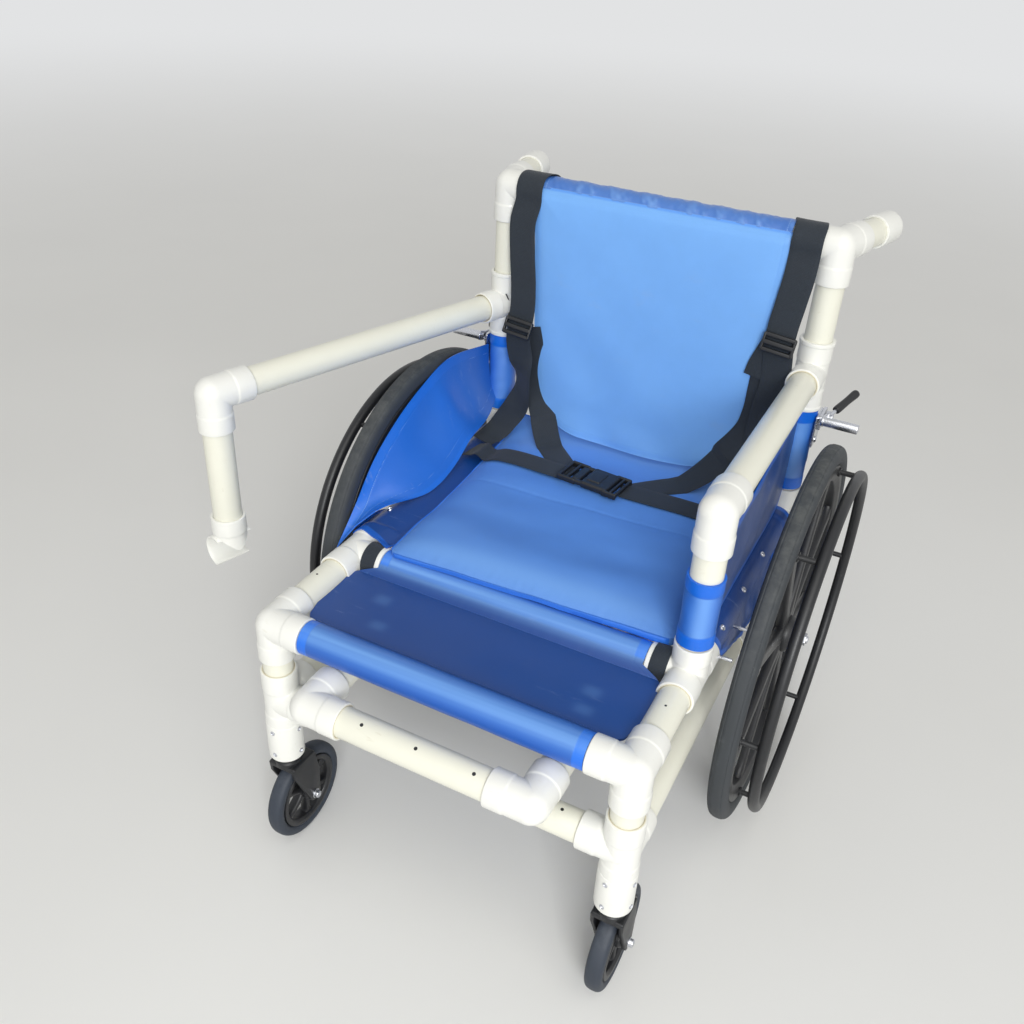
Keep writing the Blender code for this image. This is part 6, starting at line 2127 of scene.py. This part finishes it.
@dataclass
class Harness(Part):
    """Shoulder straps, lap belt, buckle, adjusters and the bands on the seat crossbar.

    Attributes:
        over_seat: half width, rear end and top of the space over the cushion, where bands keep clear of it.
    """

    cushion: SeatCushion
    thick: float = 0.0014
    belt_y: float = 0.508
    over_seat: tuple = (0.2, 0.6, 0.6)
    buckle_turn: float = -6.0

    def _on_cushion(self, x: float, y: float) -> float:
        """Height that clears the cushion under a band's width."""
        ys = y + np.linspace(-0.5, 0.5, 5) * CHAIR.webbing
        return float(self.cushion.top_height(np.full(5, x), ys).max())

    def build(self) -> None:
        """Build every band, adjuster and the buckle."""
        for side, s in SIDES:
            self._shoulder(side, s)
            self._lap(side, s)
            shape = Shape(f"crossbar_band_{side}_webbing")
            rows = [(0.0, 0.0257), (0.0, 0.0268), (0.0235, 0.0268), (0.0235, 0.0257)]
            start = np.array((s * 0.2135, CHAIR.tee, CHAIR.seat))
            shape.closed(turned(start, s * X, eased(rows, 0.0005, closed=True), 48), wrap_rows=True)
            self.piece(shape, Finish.WEBBING, f"crossbar_band_{side}")
        self._buckle()

    def _ribbon(self, shape: Shape, knots: ArrayLike, count: int, clear: float, laid: float = 0.0) -> None:
        """Add a band through knots of (x, y, z, across x, across y, across z), held clear of the cushion.

        Args:
            shape: the piece it joins.
            knots: the band's middle and the direction of its width at each place.
            count: how many points the band has along its length.
            clear: how far its middle stays above the cushion.
            laid: from this height above the cushion down it comes to lie on it.
        """
        knots = np.asarray(knots, float)
        path, across = smooth_line(knots[:, :3], count), unit(smooth_line(knots[:, :3], count, knots[:, 3:]))
        low = np.full(count, -1.0)
        for side in (-0.45, 0.0, 0.45):
            under = path + side * CHAIR.webbing * across
            low = np.maximum(low, self.cushion.top_height(under[:, 0], under[:, 1]) + clear)
        half, rear, top = self.over_seat
        over = (path[:, 1] < rear) & (path[:, 2] < top) & (np.abs(path[:, 0]) < half)
        lift = smoothed(np.where(over, np.maximum(low - path[:, 2], 0.0), 0.0), 4)
        path[:, 2] += np.where(over, np.maximum(lift, low - path[:, 2]), lift)
        if laid:
            down = within(path[:, 1], 0.604, laid) * over
            path[:, 2] += down * (low - path[:, 2])
        shape.closed(band(path, across, CHAIR.webbing, self.thick))

    def _shoulder(self, side: str, s: float) -> None:
        """A strap over the top crossbar and down to the seat, with its second length across to the buckle.

        Args:
            side: left or right.
            s: the side's sign.
        """
        top_x, x, z, y, tilt = {"left": (-0.214, -0.2118, 0.656, 0.604, 0.42),
                                "right": (0.2225, 0.2145, 0.726, 0.6075, 0.22)}[side]
        turn = np.radians(np.arange(-60.0, 201.0, 9.0))
        r = 0.0263 + 0.0046 * beyond(turn, 1.5, 1.0)
        aside = top_x - s * np.interp(turn, (0.6, 2.2), (0.01, 0.0))
        wrap = grid_of(aside, CHAIR.back + r * np.cos(turn), CHAIR.top + r * np.sin(turn))
        plain = (1.0, 0.0, 0.0)
        shape = Shape(f"shoulder_strap_{side}_webbing")
        falls = {"left": [(-0.22, 0.616, 0.83), (-0.217, 0.613, 0.78), (-0.211, 0.611, 0.725),
                          (-0.209, 0.6085, 0.69), (-0.2115, 0.607, 0.66), (-0.212, 0.604, 0.636),
                          (-0.206, 0.605, 0.6), (-0.2, 0.6045, 0.572), (-0.199, 0.603, 0.545),
                          (-0.208, 0.6, 0.51), (-0.221, 0.594, 0.487), (-0.232, 0.583, 0.468),
                          (-0.242, 0.568, 0.4575), (-0.247, 0.552, 0.4545)],
                 "right": [(0.2225, 0.616, 0.83), (0.219, 0.613, 0.79), (0.215, 0.61, 0.748),
                           (0.2145, 0.6085, 0.726), (0.217, 0.609, 0.7), (0.22, 0.609, 0.665),
                           (0.215, 0.609, 0.62), (0.212, 0.608, 0.58), (0.213, 0.605, 0.54),
                           (0.216, 0.602, 0.5), (0.219, 0.599, 0.46)]}[side]
        knots = [(*point, *plain) for point in [*wrap, *falls]]
        knots = [(*k[:3], 0.85, 0.5 * s, 0.1) if 0.54 < k[2] < 0.58 and k[1] < 0.61 else k for k in knots]
        self._ribbon(shape, knots, 190, 0.001)
        seconds = {"left": [(-0.199, 0.615, 0.655, 1, 0, 0), (-0.189, 0.6165, 0.615, 1, 0, 0.05),
                            (-0.18, 0.6165, 0.565, 0.98, 0.1, 0.15), (-0.163, 0.609, 0.52, 0.9, 0.4, 0.2),
                            (-0.139, 0.586, 0.494, 0.75, 0.62, 0.1), (-0.112, 0.561, 0.484, 0.66, 0.74, 0),
                            (-0.084, 0.533, 0.48, 0.66, 0.74, 0), (-0.06, 0.506, 0.478, 0.68, 0.72, 0)],
                   "right": [(0.204, 0.615, 0.7, 1, 0, 0), (0.2025, 0.6145, 0.65, 1, 0, 0),
                             (0.201, 0.6135, 0.605, 1, 0, 0), (0.195, 0.611, 0.575, 0.9, -0.1, -0.35),
                             (0.177, 0.605, 0.544, 0.75, -0.35, -0.55),
                             (0.145, 0.593, 0.51, 0.6, -0.65, -0.4), (0.108, 0.57, 0.489, 0.55, -0.82, -0.1),
                             (0.076, 0.543, 0.481, 0.5, -0.86, 0), (0.056, 0.522, 0.48, 0.45, -0.89, 0),
                             (0.04, 0.506, 0.48, 0.45, -0.89, 0)]}[side]
        self._ribbon(shape, seconds, 110, 0.0009, laid=0.03)
        if side == "right":
            tail = [(0.21, 0.612, 0.722, 1, 0, 0), (0.202, 0.6115, 0.7, 1, 0, 0.06),
                    (0.196, 0.6105, 0.682, 1, 0, 0.1), (0.1925, 0.61, 0.664, 1, 0, 0.1)]
            self._ribbon(shape, tail, 30, 0.0)
        self.piece(shape, Finish.WEBBING, f"shoulder_strap_{side}")
        up = unit(np.array((0.1, tilt, 1.0)))
        axes = np.stack((unit(np.cross(Y, up)), np.cross(up, unit(np.cross(Y, up))), up))
        shape = Shape(f"strap_adjuster_{side}_moulding")
        middle = np.array((x, y - 0.004, z))
        for across, level, half in ((0.0, -0.0115, (0.024, 0.0034, 0.0032)),
                                    (0.0, 0.0, (0.023, 0.0044, 0.0036)),
                                    (0.0, 0.0115, (0.024, 0.0034, 0.0032)),
                                    (-0.0228, 0.0, (0.0022, 0.0038, 0.0138)),
                                    (0.0228, 0.0, (0.0022, 0.0038, 0.0138))):
            shape.closed(rounded_box(middle + across * axes[0] + level * axes[2], half, 0.0019, axes))
        self.piece(shape, Finish.MOULDED, f"strap_adjuster_{side}")

    def _lap(self, side: str, s: float) -> None:
        """One half of the lap belt.

        Args:
            side: left or right.
            s: the side's sign.
        """
        end = {"left": -0.064, "right": 0.0365}[side]
        xs = np.linspace(s * 0.2065, end, 9)
        knots = [(s * 0.248, self.belt_y + 0.01, 0.453), (s * 0.236, self.belt_y + 0.006, 0.458),
                 (s * 0.222, self.belt_y + 0.002, 0.464)]
        knots += [(bx, self.belt_y, self._on_cushion(bx, self.belt_y) + 0.0032) for bx in xs]
        shape = Shape(f"lap_belt_{side}_webbing")
        shape.closed(band(smooth_line(knots, 90), Y, CHAIR.webbing, self.thick))
        self.piece(shape, Finish.WEBBING, f"lap_belt_{side}")

    def _buckle(self) -> None:
        """A side-release buckle: a ladder bar at each end, the body, and two prongs between body and stem."""
        turn = radians(self.buckle_turn)
        axes = np.array(((cos(turn), sin(turn), 0.0), (-sin(turn), cos(turn), 0.0), tuple(Z)))
        middle = np.array((-0.012, 0.506, self._on_cushion(-0.012, 0.506) + 0.008))
        parts = [((0.01, 0.0, 0.0), (0.024, 0.028, 0.006), 0.0045),
                 ((0.004, 0.0, 0.0048), (0.012, 0.017, 0.003), 0.0026),
                 ((-0.026, 0.0, -0.0005), (0.007, 0.0215, 0.0046), 0.003)]
        parts += [((x, 0.0, 0.001), (0.0024, 0.0255, 0.0036), 0.0022) for x in (-0.0545, -0.04, 0.04, 0.05)]
        for y in (-1.0, 1.0):
            parts += [((-0.04, y * 0.0255, 0.0), (0.017, 0.0028, 0.005), 0.0026),
                      ((-0.016, y * 0.0235, 0.0002), (0.01, 0.0042, 0.0042), 0.0034),
                      ((0.039, y * 0.0275, 0.0), (0.0135, 0.0028, 0.0052), 0.0026)]
        shape = Shape("buckle_moulding")
        for offset, half, radius in parts:
            shape.closed(rounded_box(middle + np.asarray(offset) @ axes, half, radius, axes))
        self.piece(shape, Finish.MOULDED, "buckle")


@dataclass
class Fasteners(Part):
    """Screws in the pipework and the fabric, pins in the rail, and black discs painted as the shade in
    drilled holes.
    """

    over_cloth: float = 0.0232
    footrest_bar: tuple = (-0.061, 0.37)
    footrest_holes: tuple = (-0.0725, 0.007, 0.0886)
    collar_turns: tuple = (("left", 0.0), ("right", -15.0))
    collar_rows: tuple = (0.24, 0.197)

    def build(self) -> None:
        """Build all screws of the frame as one piece, and the black discs painted as the shade in holes as
        two more pieces.
        """
        shape = Shape("frame_screws")
        self._fabric(shape)
        self._collars(shape)
        self.piece(shape, Finish.STEEL)
        # Painted shade: black discs stand for the dark inside of the drilled holes.
        shape = Shape("frame_holes")
        hole_shade_disc(shape, (0.1798, -0.0026, CHAIR.low + CHAIR.pipe), (0.0, -0.12, 1.0),
                   radius=0.0022)
        for _, s in SIDES:
            hole_shade_disc(shape, (s * CHAIR.half_width, 0.098, CHAIR.seat + CHAIR.pipe), Z, radius=0.0016)
        self.piece(shape, Finish.MOULDED)
        shape = Shape("footrest_holes")
        turn = radians(114.0)
        out = np.array((0.0, cos(turn), sin(turn)))
        for x in self.footrest_holes:
            hole_shade_disc(shape, np.array((x, *self.footrest_bar)) + CHAIR.pipe * out, out, radius=0.0024)
        self.piece(shape, Finish.MOULDED, body="footrest")

    def _fabric(self, shape: Shape) -> None:
        """The screws that hold the sling to the rails, at their angle from the vertical.

        Args:
            shape: the piece that they join.
        """
        right = ((0.284, 38.0), (0.384, 39.0), (0.486, 37.0), (0.612, 25.0), (0.238, 80.0))
        left = ((0.291, 11.0), (0.604, 7.0))
        for sign, places in ((1.0, right), (-1.0, left)):
            for y, angle in places:
                a = radians(angle) * sign
                out = np.array((sin(a), 0.0, cos(a)))
                centre = np.array((sign * CHAIR.half_width, y, CHAIR.seat))
                screw_head(shape, centre + self.over_cloth * out, out, radius=0.0046, height=0.0024)
        pin = eased([(0.0, 0.0008), (0.0, 0.0026), (0.025, 0.0026), (0.025, 0.0006)], (0, 0.0006, 0.0008, 0))
        for y in (0.246, 0.319):
            shape.closed(turned((CHAIR.half_width + 0.018, y, CHAIR.seat), X, pin, 20))

    def _collars(self, shape: Shape) -> None:
        """Two rows of four screws in each caster socket.

        Args:
            shape: the piece that they join.
        """
        for (_, s), (_, first) in zip(SIDES, self.collar_turns):
            for z in self.collar_rows:
                for turn in (0.0, 90.0, 180.0, 270.0):
                    a = radians(first + turn)
                    out = np.array((cos(a), sin(a), 0.0))
                    centre = np.array((s * CHAIR.half_width, 0.0, z))
                    centre = centre + SideFrame.collar_radius * out
                    screw_head(shape, centre, out, radius=0.0036, height=0.0014)


@dataclass
class Studio:
    """Pale floor, soft lamps and the camera."""

    camera: tuple = (0.4742, -0.8036, 1.2955)
    turns: tuple = (0.4499, 0.9994, 0.0552)
    lens: float = 35.04
    floor: tuple = srgb(243, 243, 241)
    backdrop: tuple = srgb(226, 227, 228)
    reach: float = 60.0

    def build(self) -> None:
        """Build the stage, the lamps and the camera."""
        self._floor()
        self._world()
        self._lamp("window", place=(1.7, -2.9, 2.05), aim=(0.0, 0.2, 0.45), size=1.3, power=74.0,
                   colour=(0.98, 0.99, 1.0))
        sun = bpy.data.lights.new("ceiling", "SUN")
        sun.energy, sun.angle, sun.color = 1.0, radians(60.0), (1.0, 0.97, 0.9)
        obj = bpy.data.objects.new("ceiling", sun)
        bpy.context.scene.collection.objects.link(obj)
        obj.matrix_world = Vector((0.5, -0.75, 1.2)).to_track_quat("Z", "Y").to_matrix().to_4x4()
        place = bpy.data.cameras.new("camera")
        place.lens, place.sensor_width = self.lens, 36.0
        obj = bpy.data.objects.new("camera", place)
        bpy.context.scene.collection.objects.link(obj)
        yaw, pitch, roll = self.turns
        turn = Matrix.Rotation(yaw, 4, "Z") @ Matrix.Rotation(pitch, 4, "X") @ Matrix.Rotation(roll, 4, "Z")
        obj.matrix_world = Matrix.Translation(Vector(np.array(self.camera) + SHIFT)) @ turn
        bpy.context.scene.camera = obj
        bpy.context.scene.view_settings.view_transform = "Standard"

    def _floor(self) -> None:
        """A wide floor with faint clouds, which turns as bright as the backdrop far from the chair."""
        mesh = bpy.data.meshes.new("floor")
        corners = [(x, y, -0.0004) for x, y in ((-1, -1), (1, -1), (1, 1), (-1, 1))]
        mesh.from_pydata([(x * self.reach, y * self.reach, z) for x, y, z in corners], [], [(0, 1, 2, 3)])
        obj = bpy.data.objects.new("floor", mesh)
        bpy.context.scene.collection.objects.link(obj)
        material = bpy.data.materials.new("pale_floor")
        material.use_nodes = True
        tree = Tree(material.node_tree)
        where = tree.where()
        base = tree.between(tree.noise(where, 1.5, 3.0), self.floor, srgb(236, 236, 234))
        shader = tree.node("BsdfPrincipled", {"Base Color": base, "Roughness": 0.8})
        away = tree.node("VectorMath", {0: where}, operation="LENGTH").outputs["Value"]
        glow = tree.node("Emission", {"Color": self.backdrop, "Strength": self._seen(tree, 0.35)})
        mix = tree.node("MixShader", {0: tree.span(away, 1.6, 9.0), 1: shader.outputs[0], 2: glow.outputs[0]})
        tree.node("OutputMaterial", {"Surface": mix.outputs[0]})
        mesh.materials.append(material)

    def _seen(self, tree: Tree, plain: float) -> bpy.types.NodeSocket:
        """A strength of 1 where the camera, gloss or glass looks, and a plain one as light.

        Args:
            tree: the tree of the floor or the surroundings.
            plain: the strength as light.
        Returns:
            The strength's socket.
        """
        path = tree.node("LightPath")
        seen = tree.math("MAXIMUM", path.outputs["Is Camera Ray"], path.outputs["Is Transmission Ray"])
        seen = tree.math("MAXIMUM", seen, path.outputs["Is Glossy Ray"])
        return tree.math("ADD", tree.math("MULTIPLY", seen, 1.0 - plain), plain)

    def _world(self) -> None:
        """A dim even light, and a pale backdrop for what the camera and gloss see."""
        world = bpy.data.worlds.new("studio")
        bpy.context.scene.world = world
        world.use_nodes = True
        tree = Tree(world.node_tree)
        shade = tree.node("Background", {"Color": self.backdrop, "Strength": self._seen(tree, 0.4)})
        tree.node("OutputWorld", {"Surface": shade.outputs[0]})

    def _lamp(self, name: str, place: tuple, aim: tuple, size: float, power: float, colour: tuple) -> None:
        """A square soft lamp that points at a place.

        Args:
            name: the lamp's name.
            place: where it hangs.
            aim: the place that it points at.
            size: the length of its side.
            power: in watts.
            colour: its colour.
        """
        lamp = bpy.data.lights.new(name, "AREA")
        lamp.size, lamp.energy, lamp.color = size, power, colour
        obj = bpy.data.objects.new(name, lamp)
        bpy.context.scene.collection.objects.link(obj)
        way = Vector(aim) - Vector(place)
        turn = way.to_track_quat("-Z", "Y").to_matrix().to_4x4()
        obj.matrix_world = Matrix.Translation(Vector(place)) @ turn


def main() -> None:
    """Build every sub-assembly."""
    logging.basicConfig(level=logging.INFO, format="%(message)s")
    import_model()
    shop = Workshop()
    for side, sign in SIDES:
        SideFrame(shop, side, sign, {"left": 9.6, "right": 17.0}[side]).build()
        RearWheel(shop, side, sign).build()
        Caster(shop, side, sign).build()
        WheelLock(shop, side, sign).build()
    Crossbars(shop).build()
    FixedArm(shop).build()
    SwingArm(shop).build()
    Footrest(shop).build()
    LegPanel(shop).build()
    sling = SeatSling(shop)
    sling.build()
    cushion = SeatCushion(shop, sling)
    cushion.build()
    BackPanel(shop).build()
    SidePanels(shop).build()
    Harness(shop, cushion).build()
    Fasteners(shop).build()
    Studio().build()


if __name__ == "__main__":
    main()
